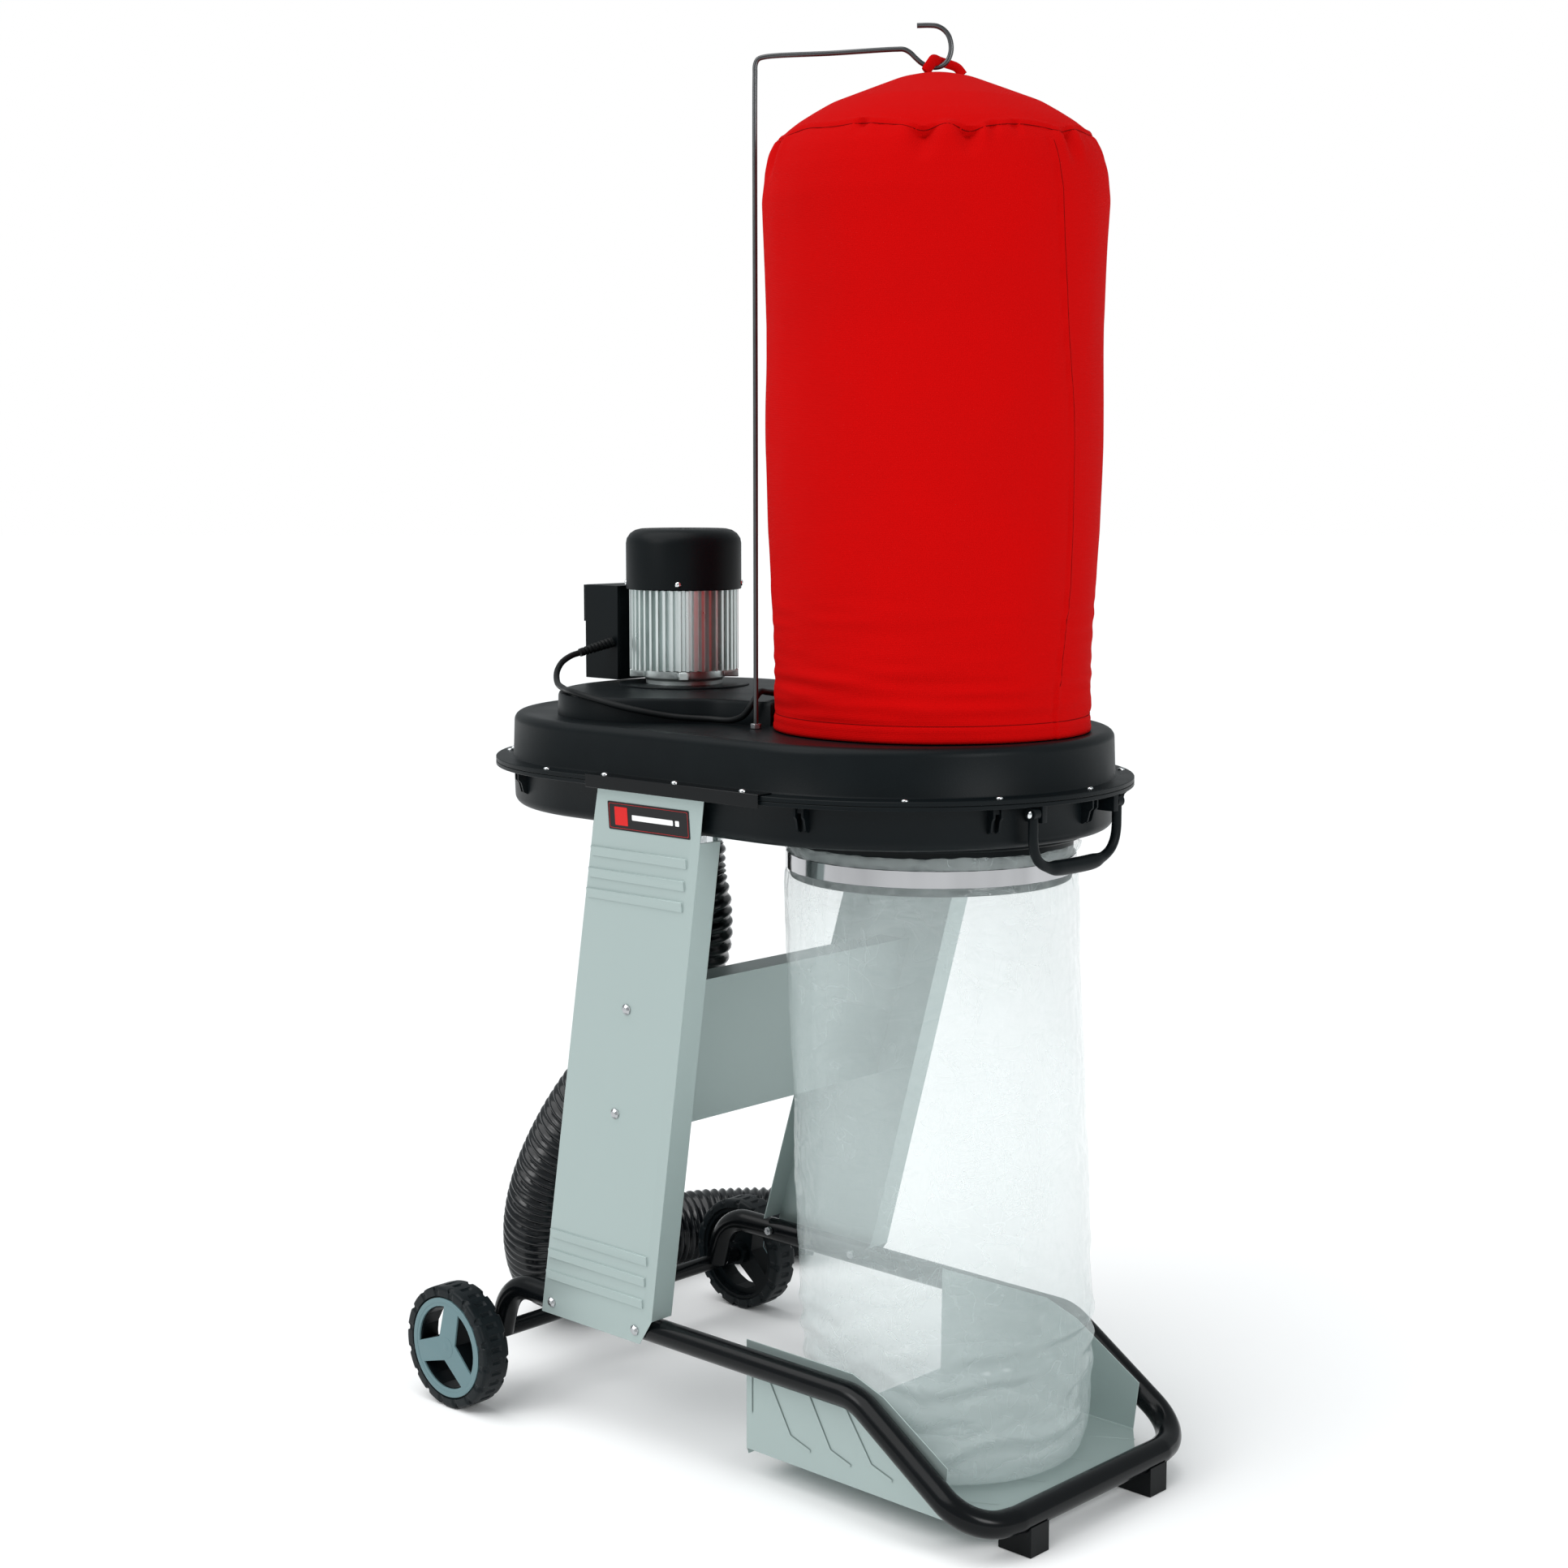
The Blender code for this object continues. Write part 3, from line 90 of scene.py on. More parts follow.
# --- shader nodes
def feed(node, inputs):
    """Sets each named input of a shader node to a value, or links it to the output given."""
    for key, value in inputs.items():
        if isinstance(value, bpy.types.NodeSocket):
            node.id_data.links.new(value, node.inputs[key])
        else:
            node.inputs[key].default_value = value


def socket(tree, kind, output, inputs=None, **settings):
    """Adds a shader node, and returns the named output."""
    made = tree.nodes.new(f"ShaderNode{kind}")
    for key, value in settings.items():
        setattr(made, key, value)
    feed(made, inputs or {})
    return made.outputs[output]


# --- camera, floor and light
def set_camera():
    camera = linked("camera", bpy.data.cameras.new("camera"))
    camera.data.lens = 57.2
    camera.data.sensor_width = 36.0
    camera.data.clip_end = 50.0
    camera.location = (2.1193, -2.3002, 1.228)
    camera.rotation_euler = (math.radians(90 - 7.097), 0.0, math.radians(43.295))
    bpy.context.scene.camera = camera


def area_light(name, place, target, size, power):
    light = linked(name, bpy.data.lights.new(name, "AREA"))
    light.data.size = size
    light.data.energy = power
    light.location = place
    light.rotation_euler = (Vector(target) - Vector(place)).to_track_quat("-Z", "Y").to_euler()


def set_studio():
    """A white studio: the background is white to the eye, and gives the object a softer, dimmer light."""
    scene = bpy.context.scene
    scene.view_settings.view_transform = "Standard"
    world = bpy.data.worlds.new("studio")
    scene.world = world
    world.use_nodes = True
    tree = world.node_tree
    fill = tree.nodes["Background"]
    feed(fill, {"Color": (0.93, 0.98, 1.0, 1.0), "Strength": 0.5})
    seen = socket(tree, "Background", "Background", {"Color": (1.0, 1.0, 1.0, 1.0), "Strength": 1.0})
    ray = socket(tree, "LightPath", "Is Camera Ray")
    mix = socket(tree, "MixShader", "Shader", {"Fac": ray, 1: fill.outputs["Background"], 2: seen})
    feed(tree.nodes["World Output"], {"Surface": mix})
    sun = linked("overhead", bpy.data.lights.new("overhead", "SUN"))
    sun.data.energy = 2.3
    sun.data.angle = math.radians(70)
    sun.rotation_euler = (math.radians(24), math.radians(-12), 0.0)
    area_light("key", (-0.9, -3.4, 2.6), (0.0, 0.0, 0.8), 1.5, 26.0)
    area_light("side", (3.3, -0.4, 2.0), (0.1, 0.0, 0.8), 1.1, 34.0)
    mesh = bpy.data.meshes.new("studio_floor")
    half = 60.0
    corners = [(-half, -half, 0), (half, -half, 0), (half, half, 0), (-half, half, 0)]
    mesh.from_pydata(corners, [], [(0, 1, 2, 3)])
    floor = linked("studio_floor", mesh)
    floor.location.z = -0.0005
    paper = surface("floor_paper", (0.93, 0.93, 0.93), 0.9, vary=0.008, scale=2.0, specular=0.1)
    floor.data.materials.append(paper)


# --- materials
def surface(name, color, roughness, metallic=0.0, vary=0.08, scale=30.0, bump=0.0, grain=400.0,
            stretch=(1, 1, 1), rough_vary=0.06, specular=0.5):
    """A Principled material whose colour, roughness and fine bump come from noise in object coordinates."""
    made = bpy.data.materials.new(name)
    made.use_nodes = True
    tree = made.node_tree
    coords = socket(tree, "TexCoord", "Object")
    place = socket(tree, "Mapping", "Vector", {"Vector": coords, "Scale": stretch})
    wide = socket(tree, "TexNoise", "Fac", {"Vector": place, "Scale": scale, "Detail": 4.0})
    dark = (*[c * (1 - vary) for c in color], 1.0)
    light = (*[min(1.0, c * (1 + vary)) for c in color], 1.0)
    shade = socket(tree, "Mix", "Result", {"Factor": wide, "A": dark, "B": light}, data_type="RGBA")
    low, high = max(0.02, roughness - rough_vary), min(1.0, roughness + rough_vary)
    rough = socket(tree, "MapRange", "Result", {"Value": wide, "To Min": low, "To Max": high})
    shader = tree.nodes["Principled BSDF"]
    feed(shader, {"Metallic": metallic, "Specular IOR Level": specular})
    feed(shader, {"Base Color": shade, "Roughness": rough})
    if bump:
        fine = socket(tree, "TexNoise", "Fac", {"Vector": place, "Scale": grain, "Detail": 3.0})
        feed(shader, {"Normal": relief(tree, fine, 0.5, bump)})
    return made


def relief(tree, height, strength, distance):
    return socket(tree, "Bump", "Normal", {"Strength": strength, "Distance": distance, "Height": height})


def woven(name, color):
    """Plain-weave cloth: crossed threads as bump, and slow fading."""
    made = surface(name, color, 0.92, vary=0.05, scale=9.0, specular=0.06)
    tree = made.node_tree
    coords = socket(tree, "TexCoord", "Object")
    threads = {}
    for k, way in enumerate(("X", "Z")):
        waves = {"Vector": coords, "Scale": 220.0, "Distortion": 1.5}
        threads[k] = socket(tree, "TexWave", "Fac", waves, bands_direction=way)
    weave = socket(tree, "Math", "Value", threads)
    feed(tree.nodes["Principled BSDF"], {"Normal": relief(tree, weave, 0.35, 0.0003)})
    return made


def film(name):
    """Clear polythene: mostly see-through, a little milky, with fine creases in the bump, and painted
    highlight and shade along thin crease lines where the film is made more opaque.
    """
    made = surface(name, (0.7, 0.785, 0.78), 0.12, vary=0.02, scale=8.0)
    tree = made.node_tree
    coords = socket(tree, "TexCoord", "Object")
    heights = []
    for scale, stretch in ((6.0, (1.0, 1.0, 0.5)), (11.0, (1.0, 1.0, 2.2)), (17.0, (1.6, 1.6, 0.6))):
        place = socket(tree, "Mapping", "Vector", {"Vector": coords, "Scale": stretch})
        pattern = {"Vector": place, "Scale": scale, "Detail": 2.0, "Distortion": 0.9}
        creases = socket(tree, "TexNoise", "Fac", pattern)
        centred = socket(tree, "Math", "Value", {0: creases, 1: 0.5}, operation="SUBTRACT")
        heights.append(socket(tree, "Math", "Value", {0: centred}, operation="ABSOLUTE"))
    total = socket(tree, "Math", "Value", {0: heights[0], 1: heights[1]})
    # Painted highlight and shade: where the crease noise is near its middle, thin lines make the film more
    # opaque, standing in for the light and shade along creases.
    lines = {}
    for k, height in enumerate(heights[1:]):
        near_zero = {"Value": height, "From Max": 0.011, "To Min": 1.0, "To Max": 0.0}
        lines[k] = socket(tree, "MapRange", "Result", near_zero)
    line = socket(tree, "Math", "Value", lines, operation="MAXIMUM")
    clouds = socket(tree, "TexNoise", "Fac", {"Vector": coords, "Scale": 5.0, "Detail": 3.0})
    span = {"Value": clouds, "From Min": 0.35, "From Max": 0.65, "To Min": 0.25, "To Max": 0.33}
    milk = socket(tree, "MapRange", "Result", span)
    cover = socket(tree, "Math", "Value", {0: line, 1: 0.045, 2: milk}, operation="MULTIPLY_ADD")
    feed(tree.nodes["Principled BSDF"], {"Normal": relief(tree, total, 0.8, 0.006), "Alpha": cover})
    return made


MATERIALS = {
    "frame_black": surface("paint_black_gloss", (0.0022, 0.003, 0.0036), 0.2, vary=0.25, bump=0.00006,
                           grain=260, specular=0.17),
    "sheet_steel": surface("sheet_satin", (0.35, 0.425, 0.413), 0.38, 0.35, vary=0.03, scale=5.0,
                           bump=0.00004, grain=700, stretch=(1, 1, 0.15)),
    "plastic_black": surface("plastic_satin", (0.0028, 0.0048, 0.0058), 0.42, vary=0.25, scale=18.0,
                             bump=0.00022, grain=620, specular=0.11),
    "rubber": surface("rubber_matt", (0.003, 0.004, 0.0045), 0.45, vary=0.2, bump=0.0002, grain=500,
                      specular=0.15),
    "tyre": surface("tyre_rubber", (0.005, 0.008, 0.0095), 0.42, vary=0.4, scale=24.0, bump=0.0003,
                    grain=300, specular=0.16),
    "hub_grey": surface("hub_plastic", (0.118, 0.198, 0.214), 0.42, vary=0.05, bump=0.0001, grain=600,
                        specular=0.3),
    "cast_aluminium": surface("alloy_cast", (0.7, 0.76, 0.75), 0.3, 0.9, vary=0.1, bump=0.0003, grain=420),
    "steel": surface("steel_plain", (0.42, 0.43, 0.44), 0.28, 1.0, vary=0.1, bump=0.00005, grain=800),
    "bright_steel": surface("steel_bright", (0.7, 0.72, 0.73), 0.1, 1.0, vary=0.05, scale=60,
                            rough_vary=0.04),
    "copper_iron": surface("windings", (0.34, 0.17, 0.08), 0.5, 0.6, vary=0.2, bump=0.0003, grain=300),
    "red_fabric": woven("cloth_red", (0.475, 0.0006, 0.0006)),
    "clear_film": film("film_clear"),
    # Painted reflection: the strong colour noise, stretched round the band, paints the dark and bright bands
    # that the chrome reflects.
    "chrome_with_painted_reflection": surface("chrome_band_painted_reflection", (0.4, 0.4, 0.41), 0.09, 1.0, vary=0.75, scale=9.0,
                           stretch=(1, 1, 0.1), rough_vary=0.04),
    "rod_dark": surface("rod_drawn_steel", (0.085, 0.088, 0.09), 0.3, 0.85, vary=0.2, scale=40.0,
                        bump=0.00003),
    "thread": surface("thread_dark_red", (0.16, 0.001, 0.001), 0.9, vary=0.2, scale=300.0, specular=0.05),
    "button_green": surface("button_green_plastic", (0.02, 0.3, 0.07), 0.35, vary=0.06),
    "button_red": surface("button_red_plastic", (0.55, 0.012, 0.01), 0.35, vary=0.06),
    "hose_black": surface("hose_plastic", (0.0028, 0.004, 0.0052), 0.2, vary=0.2, bump=0.0001, grain=500,
                          specular=0.34),
    "label_black": surface("label_film_black", (0.004, 0.004, 0.005), 0.3, vary=0.1, specular=0.25),
    "label_red": surface("label_film_red", (0.62, 0.006, 0.005), 0.3, vary=0.05, specular=0.25),
    "label_white": surface("label_film_white", (0.88, 0.88, 0.88), 0.3, vary=0.03),
}
SLOTS = {part["node"]: part["material_slot"] for part in frame["record"]["subparts"]}
BODY_OF = {node: body for body, nodes in frame["record"]["behaviour"]["bodies"].items() for node in nodes}


# --- mesh helper functions
def dressed(obj, material, body, angle):
    """Gives a piece its material, smooth shading and the body that it rides on."""
    obj.data.materials.clear()
    obj.data.materials.append(MATERIALS[material])
    obj.data.shade_smooth()
    obj.data.set_sharp_from_angle(angle=math.radians(angle))
    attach(obj, body)


def shown(obj, nodes, material=None, angle=EDGE_ANGLE):
    """Finishes a piece that stands for CAD nodes."""
    nodes = [nodes] if isinstance(nodes, str) else nodes
    slot = SLOTS[nodes[0]]
    dressed(obj, material or slot, BODY_OF[nodes[0]], angle)
    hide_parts(*nodes)
    return obj


def extra(obj, material, body="chassis", angle=EDGE_ANGLE):
    """Finishes a small piece that stands for no CAD node."""
    dressed(obj, material, body, angle)
    return obj


def linked(name, data):
    obj = bpy.data.objects.new(name, data)
    bpy.context.scene.collection.objects.link(obj)
    return obj


def turns(count):
    """Even angles round a whole turn."""
    return np.linspace(0, 2 * math.pi, count, endpoint=False)


def distances(line):
    """How far along the line each of its points is."""
    return np.concatenate([[0], np.cumsum(np.linalg.norm(np.diff(line, axis=0), axis=1))])


def evenly(line, count):
    """The line again, as count points at an even spacing."""
    along = distances(line)
    at = np.linspace(0, along[-1], count)
    return np.stack([np.interp(at, along, column) for column in line.T], axis=1)


def tidy(mesh, weld=1e-5):
    """Joins points that coincide, and turns all faces outwards."""
    bm = bmesh.new()
    bm.from_mesh(mesh)
    if weld:
        bmesh.ops.remove_doubles(bm, verts=bm.verts, dist=weld)
    bmesh.ops.recalc_face_normals(bm, faces=bm.faces)
    bm.to_mesh(mesh)
    bm.free()


def from_rings(name, rings, close_start=False, close_end=False, around=True):
    """A mesh from rows of points; each row closes on itself, and the first and last can be capped."""
    rings = np.asarray(rings, float)
    rows, count = rings.shape[:2]
    faces = []
    for i in range(rows - 1):
        for j in range(count if around else count - 1):
            k = (j + 1) % count
            faces.append((i * count + j, i * count + k, (i + 1) * count + k, (i + 1) * count + j))
    if close_start:
        faces.append(tuple(range(count - 1, -1, -1)))
    if close_end:
        faces.append(tuple((rows - 1) * count + j for j in range(count)))
    mesh = bpy.data.meshes.new(name)
    mesh.from_pydata(rings.reshape(-1, 3).tolist(), [], faces)
    tidy(mesh, 0)
    return linked(name, mesh)


def lathe(name, profile, centre=(0, 0, 0), sides=72, axis="Z", side=1, closed=True):
    """A turned piece: profile holds (radius, height) all round its section."""
    angles = turns(sides)
    rows = []
    for radius, height in profile + profile[:1] if closed else profile:
        ring = np.stack([radius * np.cos(angles), radius * np.sin(angles), np.full(sides, height)], axis=1)
        if axis == "Y":
            ring = np.stack([ring[:, 0], side * ring[:, 2], ring[:, 1]], axis=1)
        rows.append(ring + np.array(centre))
    obj = from_rings(name, rows)
    tidy(obj.data)
    return obj


def arc(centre, radius, start, end, steps):
    angles = [math.radians(start + (end - start) * k / steps) for k in range(steps + 1)]
    return [(centre[0] + radius * math.cos(a), centre[1] + radius * math.sin(a)) for a in angles]


def smooth_path(route, spacing):
    """Points at an even spacing along a centripetal Catmull-Rom curve through the route's points."""
    places = [Vector(place) for place in route]
    ends = [2 * places[0] - places[1]] + places + [2 * places[-1] - places[-2]]
    fine = []
    for p0, p1, p2, p3 in zip(ends, ends[1:], ends[2:], ends[3:]):
        t1 = max((p1 - p0).length, 1e-9) ** 0.5
        t2 = t1 + max((p2 - p1).length, 1e-9) ** 0.5
        t3 = t2 + max((p3 - p2).length, 1e-9) ** 0.5
        for k in range(20):
            t = t1 + (t2 - t1) * k / 20
            a1 = p0.lerp(p1, t / t1)
            a2 = p1.lerp(p2, (t - t1) / (t2 - t1))
            a3 = p2.lerp(p3, (t - t2) / (t3 - t2))
            fine.append(a1.lerp(a2, t / t2).lerp(a2.lerp(a3, (t - t1) / (t3 - t1)), (t - t1) / (t2 - t1)))
    line = np.array([tuple(p) for p in fine + [places[-1]]])
    return evenly(line, max(2, round(distances(line)[-1] / spacing)) + 1)


def rounded_path(corners):
    """A path through (corner, bend radius) pairs, with an arc at each inner corner."""
    places = [Vector(corner) for corner, _ in corners]
    path = [places[0]]
    for before, corner, after, (_, radius) in zip(places, places[1:], places[2:], corners[1:]):
        back, ahead = (before - corner).normalized(), (after - corner).normalized()
        angle = back.angle(ahead)
        centre = corner + (back + ahead).normalized() * radius / math.sin(angle / 2)
        first = corner + back * radius / math.tan(angle / 2) - centre
        last = corner + ahead * radius / math.tan(angle / 2) - centre
        steps = max(2, round(first.angle(last) / math.radians(4)))
        for k in range(steps + 1):
            path.append(centre + first.slerp(last, k / steps).normalized() * radius)
    return np.array([tuple(p) for p in path + [places[-1]]])


def swept(name, line, radius, sides=24, caps=True):
    """A tube along a line. radius is a number, or gives each ring's radii from its distance and angles."""
    line = np.asarray(line, float)
    tangents = np.gradient(line, axis=0)
    tangents /= np.linalg.norm(tangents, axis=1)[:, None]
    normal = np.cross(tangents[0], [0.0, 0.0, 1.0])
    if np.linalg.norm(normal) < 0.1:
        normal = np.cross(tangents[0], [1.0, 0.0, 0.0])
    normal /= np.linalg.norm(normal)
    angles = turns(sides)
    rings = []
    for point, tangent, distance in zip(line, tangents, distances(line)):
        normal = normal - tangent * (normal @ tangent)
        normal /= np.linalg.norm(normal)
        other = np.cross(tangent, normal)
        r = radius(distance, angles) if callable(radius) else np.full(sides, radius)
        rings.append(point + np.outer(r * np.cos(angles), normal) + np.outer(r * np.sin(angles), other))
    return from_rings(name, rings, caps, caps)


def baked(obj):
    """The object's final mesh, in its place; the object itself goes."""
    bpy.context.view_layer.update()
    mesh = bpy.data.meshes.new_from_object(obj.evaluated_get(bpy.context.evaluated_depsgraph_get()))
    mesh.transform(obj.matrix_world)
    bpy.data.objects.remove(obj, do_unlink=True)
    return mesh


def filled(name, outlines, low, high, along="Z", bevel=0.0):
    """A flat outline with any holes, given a thickness from low to high along Z or Y."""
    curve = bpy.data.curves.new(name, "CURVE")
    curve.dimensions = "2D"
    curve.fill_mode = "BOTH"
    curve.extrude = (high - low) / 2 - bevel
    curve.bevel_depth = bevel
    curve.offset = -bevel
    for outline in outlines:
        spline = curve.splines.new("POLY")
        spline.points.add(len(outline) - 1)
        for point, (u, v) in zip(spline.points, outline):
            point.co = (u, v, 0.0, 1.0)
        spline.use_cyclic_u = True
    obj = linked(name, curve)
    if along == "Y":
        obj.rotation_euler = (math.pi / 2, 0.0, 0.0)
        obj.location = (0.0, (low + high) / 2, 0.0)
    else:
        obj.location = (0.0, 0.0, (low + high) / 2)
    mesh = baked(obj)
    tidy(mesh)
    return linked(name, mesh)


def built(name, bm):
    mesh = bpy.data.meshes.new(name)
    bm.to_mesh(mesh)
    bm.free()
    return linked(name, mesh)


def merged(name, objs):
    """One piece from several, with their meshes side by side."""
    bm = bmesh.new()
    for obj in objs:
        bm.from_mesh(baked(obj))
    return built(name, bm)


def block(name, low, high, bevel=0.0005):
    low, high = Vector(low), Vector(high)
    bm = bmesh.new()
    bmesh.ops.create_cube(bm, size=1.0)
    bmesh.ops.transform(bm, matrix=Matrix.Diagonal((*(high - low), 1.0)), verts=bm.verts)
    bmesh.ops.translate(bm, vec=(low + high) / 2, verts=bm.verts)
    if bevel:
        bmesh.ops.bevel(bm, geom=bm.edges, offset=bevel, segments=2, affect="EDGES", profile=0.7)
    return built(name, bm)


def recast(node, bevel, segments=2, material=None):
    """The CAD node again, with rounded edges."""
    bm = bmesh.new()
    bm.from_mesh(frame["nodes"][node].data)
    bmesh.ops.remove_doubles(bm, verts=bm.verts, dist=1e-5)
    bmesh.ops.dissolve_limit(bm, angle_limit=math.radians(0.6), verts=bm.verts, edges=bm.edges)
    obj = built(f"fine_{node}", bm)
    modifier = obj.modifiers.new("edges", "BEVEL")
    modifier.width = bevel
    modifier.segments = segments
    modifier.limit_method = "ANGLE"
    modifier.angle_limit = math.radians(EDGE_ANGLE)
    return shown(obj, node, material)


# --- hose and mains lead
HOSE_ROUTE = [
    (-0.229, 0.0, 0.7408), (-0.229, 0.0, 0.7), (-0.223, 0.005, 0.655),
    (-0.2265, 0.006, 0.6), (-0.258, -0.01, 0.52), (-0.326, -0.037, 0.425),
    (-0.394, -0.054, 0.33), (-0.448, -0.054, 0.24), (-0.486, -0.037, 0.16),
    (-0.52, 0.006, 0.092), (-0.556, 0.07, 0.06), (-0.59, 0.145, 0.056),
    (-0.61, 0.225, 0.056), (-0.608, 0.308, 0.056), (-0.58, 0.385, 0.056),
    (-0.53, 0.448, 0.056), (-0.503, 0.471, 0.056),
]
CORD_ROUTE = [
    (-0.3265, -0.0985, 0.9936), (-0.3293, -0.109, 0.9907), (-0.33, -0.124, 0.9835),
    (-0.321, -0.1415, 0.973), (-0.296, -0.164, 0.961), (-0.25, -0.193, 0.9568),
    (-0.208, -0.2165, 0.9568), (-0.162, -0.218, 0.95), (-0.118, -0.201, 0.94),
    (-0.076, -0.168, 0.931), (-0.038, -0.14, 0.9284), (-0.008, -0.135, 0.929),
    (0.013, -0.1345, 0.937), (0.022, -0.13, 0.9515), (0.019, -0.1145, 0.9635),
    (0.01, -0.09, 0.9615), (0.003, -0.06, 0.957), (-0.008, -0.02, 0.9568),
    (-0.01, 0.025, 0.9568), (-0.015, 0.06, 0.9572), (-0.022, 0.088, 0.96),
    (-0.0285, 0.112, 0.96), (-0.034, 0.135, 0.952), (-0.0365, 0.16, 0.943),
]
COIL_CENTRE = (0.012, 0.186)


def coil_route():
    """Two turns on top of two, wound clockwise."""
    route = []
    for turn in np.arange(0.06, 4.3, 1 / 16):
        level = 0.9353 if turn < 0.95 or turn > 3.05 else 0.9273
        radius = 0.0485 if turn < 2.0 else 0.04
        if turn < 0.3:
            level += 0.005 * (0.3 - turn) / 0.24
        angle = math.radians(180 - 360 * turn)
        x, y = COIL_CENTRE[0] + radius * math.cos(angle), COIL_CENTRE[1] + radius * math.sin(angle)
        route.append((x, y, level))
    return route


def add_hose():
    line = smooth_path(HOSE_ROUTE, 0.0022)
    pitch = 0.0125

    def ribs(distance, angles):
        wave = 0.5 + 0.5 * np.cos(2 * math.pi * (distance / pitch) - angles)
        return 0.05 + 0.0048 * wave**0.7

    obj = swept("ribbed_hose", line, ribs, 40)
    shown(obj, "suction_hose", angle=60)
    end = line[-1]
    along = Vector(end - line[-4]).normalized()
    along.z = 0.0
    profile = [(0.055, 0.0006), (0.055, 0.022), (0.053, 0.026), (0.0512, 0.028), (0.05, 0.055)]
    profile += [(0.0465, 0.055), (0.046, 0.0006)]
    connector = lathe("hose_cuff", profile)
    turn = along.normalized().to_track_quat("Z", "Y").to_matrix().to_4x4()
    connector.data.transform(Matrix.Translation(end) @ turn)
    shown(connector, "hose_connector")


def add_lead():
    line = smooth_path(CORD_ROUTE + coil_route(), 0.0035)
    obj = swept("mains_lead", line, 0.004, 16)
    shown(obj, ["power_cord", "cord_coil"], "rubber")
    start, end = Vector((-0.314, -0.0512, 1.0064)), Vector((-0.3261, -0.097, 0.994))
    steps = 90
    sleeve = [tuple(start.lerp(end, k / steps)) for k in range(steps + 1)]
    reach = (end - start).length

    def ribs(distance, angles):
        taper = 0.0073 - 0.0019 * distance / reach
        groove = 0.5 + 0.5 * math.cos(2 * math.pi * distance / 0.0052)
        return np.full(len(angles), taper - 0.0011 * (groove**3) * (0.004 < distance < reach - 0.003))

    boot = swept("ribbed_relief", sleeve, ribs, 24)
    shown(boot, "cord_strain_relief")
    across = Vector((math.cos(math.radians(100)), math.sin(math.radians(100)), 0.0))
    middle = Vector((*COIL_CENTRE, 0.9313)) + across * 0.0443
    loop = []
    for a in np.linspace(0, 2 * math.pi, 25):
        loop.append(tuple(middle + across * 0.0102 * math.cos(a) + Vector((0, 0, 0.0093)) * math.sin(a)))
    extra(swept("coil_tie", loop, 0.0012, 8), "rubber")
    plug = recast("power_plug", 0.0012)


# --- housing
def obround(radius):
    right = arc((DECK_X + DECK_HALF, 0.0), radius, -90, 90, 48)
    return right + arc((DECK_X - DECK_HALF, 0.0), radius, 90, 270, 48)


def shell(name, profile):
    """A shell with round ends whose section is profile, (radius, height) from one end to the other."""
    rings = [[(x, y, height) for x, y in obround(radius)] for radius, height in profile]
    return from_rings(name, rings, True, True)


def edge_round(radius, height, size, upward):
    """(radius, height) points that round off a shell's edge."""
    points = []
    for k in range(9):
        a = math.radians(90 * k / 8)
        points.append((radius - size + size * math.cos(a), height + upward * (size * math.sin(a) - size)))
    return points


def add_upper_housing():
    profile = [(0.24, 0.8606), (0.2853, 0.8606), (0.2857, 0.8612), (0.2857, 0.8652), (0.285, FLANGE_TOP)]
    profile += [(0.2665, FLANGE_TOP), (0.264, 0.8668), (0.2628, 0.869)]
    profile += edge_round(0.2612, 0.923, 0.011, 1) + [(0.242, 0.9231), (0.2405, 0.9226), (0.22, 0.9226)]
    base = shell("deck_shell", profile)
    outline = scroll_outline()
    rows = []
    for inset, z in ((0.0, 0.9215), (0.0008, 0.947), (0.002, 0.95), (0.005, 0.9518), (0.0075, 0.952)):
        rows.append([(*p, z) for p in shrink(outline, inset)])
    scroll = from_rings("scroll", rows, True, True)
    pad = lathe("pad", [(0.0, 0.9515), (0.086, 0.9515), (0.086, 0.9535), (0.0845, 0.9545), (0.0, 0.9545)],
                (MOTOR_X, 0, 0), closed=False)
    obj = merged("upper_shell", [base, scroll, pad])
    shown(obj, "upper_housing", angle=32)


def scroll_outline():
    route = [
        (0.02, -0.1195, 0), (-0.044, -0.128, 0), (-0.078, -0.155, 0), (-0.13, -0.195, 0),
        (-0.185, -0.214, 0), (-0.24, -0.204, 0), (-0.292, -0.166, 0), (-0.333, -0.105, 0),
        (-0.352, -0.03, 0), (-0.345, 0.045, 0), (-0.31, 0.105, 0), (-0.255, 0.138, 0),
        (-0.19, 0.148, 0), (-0.12, 0.138, 0), (-0.04, 0.112, 0), (0.02, 0.106, 0),
    ]
    curve = [(p[0], p[1]) for p in smooth_path(route, 0.006)]
    first, last = curve[0], curve[-1]
    start = math.degrees(math.atan2(last[1], last[0] - BAG_X)) % 360
    end = math.degrees(math.atan2(first[1], first[0] - BAG_X)) % 360
    return curve + arc((BAG_X, 0.0), 0.1965, start - 1.5, end + 1.5, 24)


def shrink(outline, inset):
    """The outline again, moved inwards; it runs clockwise seen from above."""
    points = np.array(outline)
    along = np.roll(points, -1, axis=0) - np.roll(points, 1, axis=0)
    along /= np.linalg.norm(along, axis=1)[:, None]
    return [tuple(p) for p in points + inset * np.stack([along[:, 1], -along[:, 0]], axis=1)]


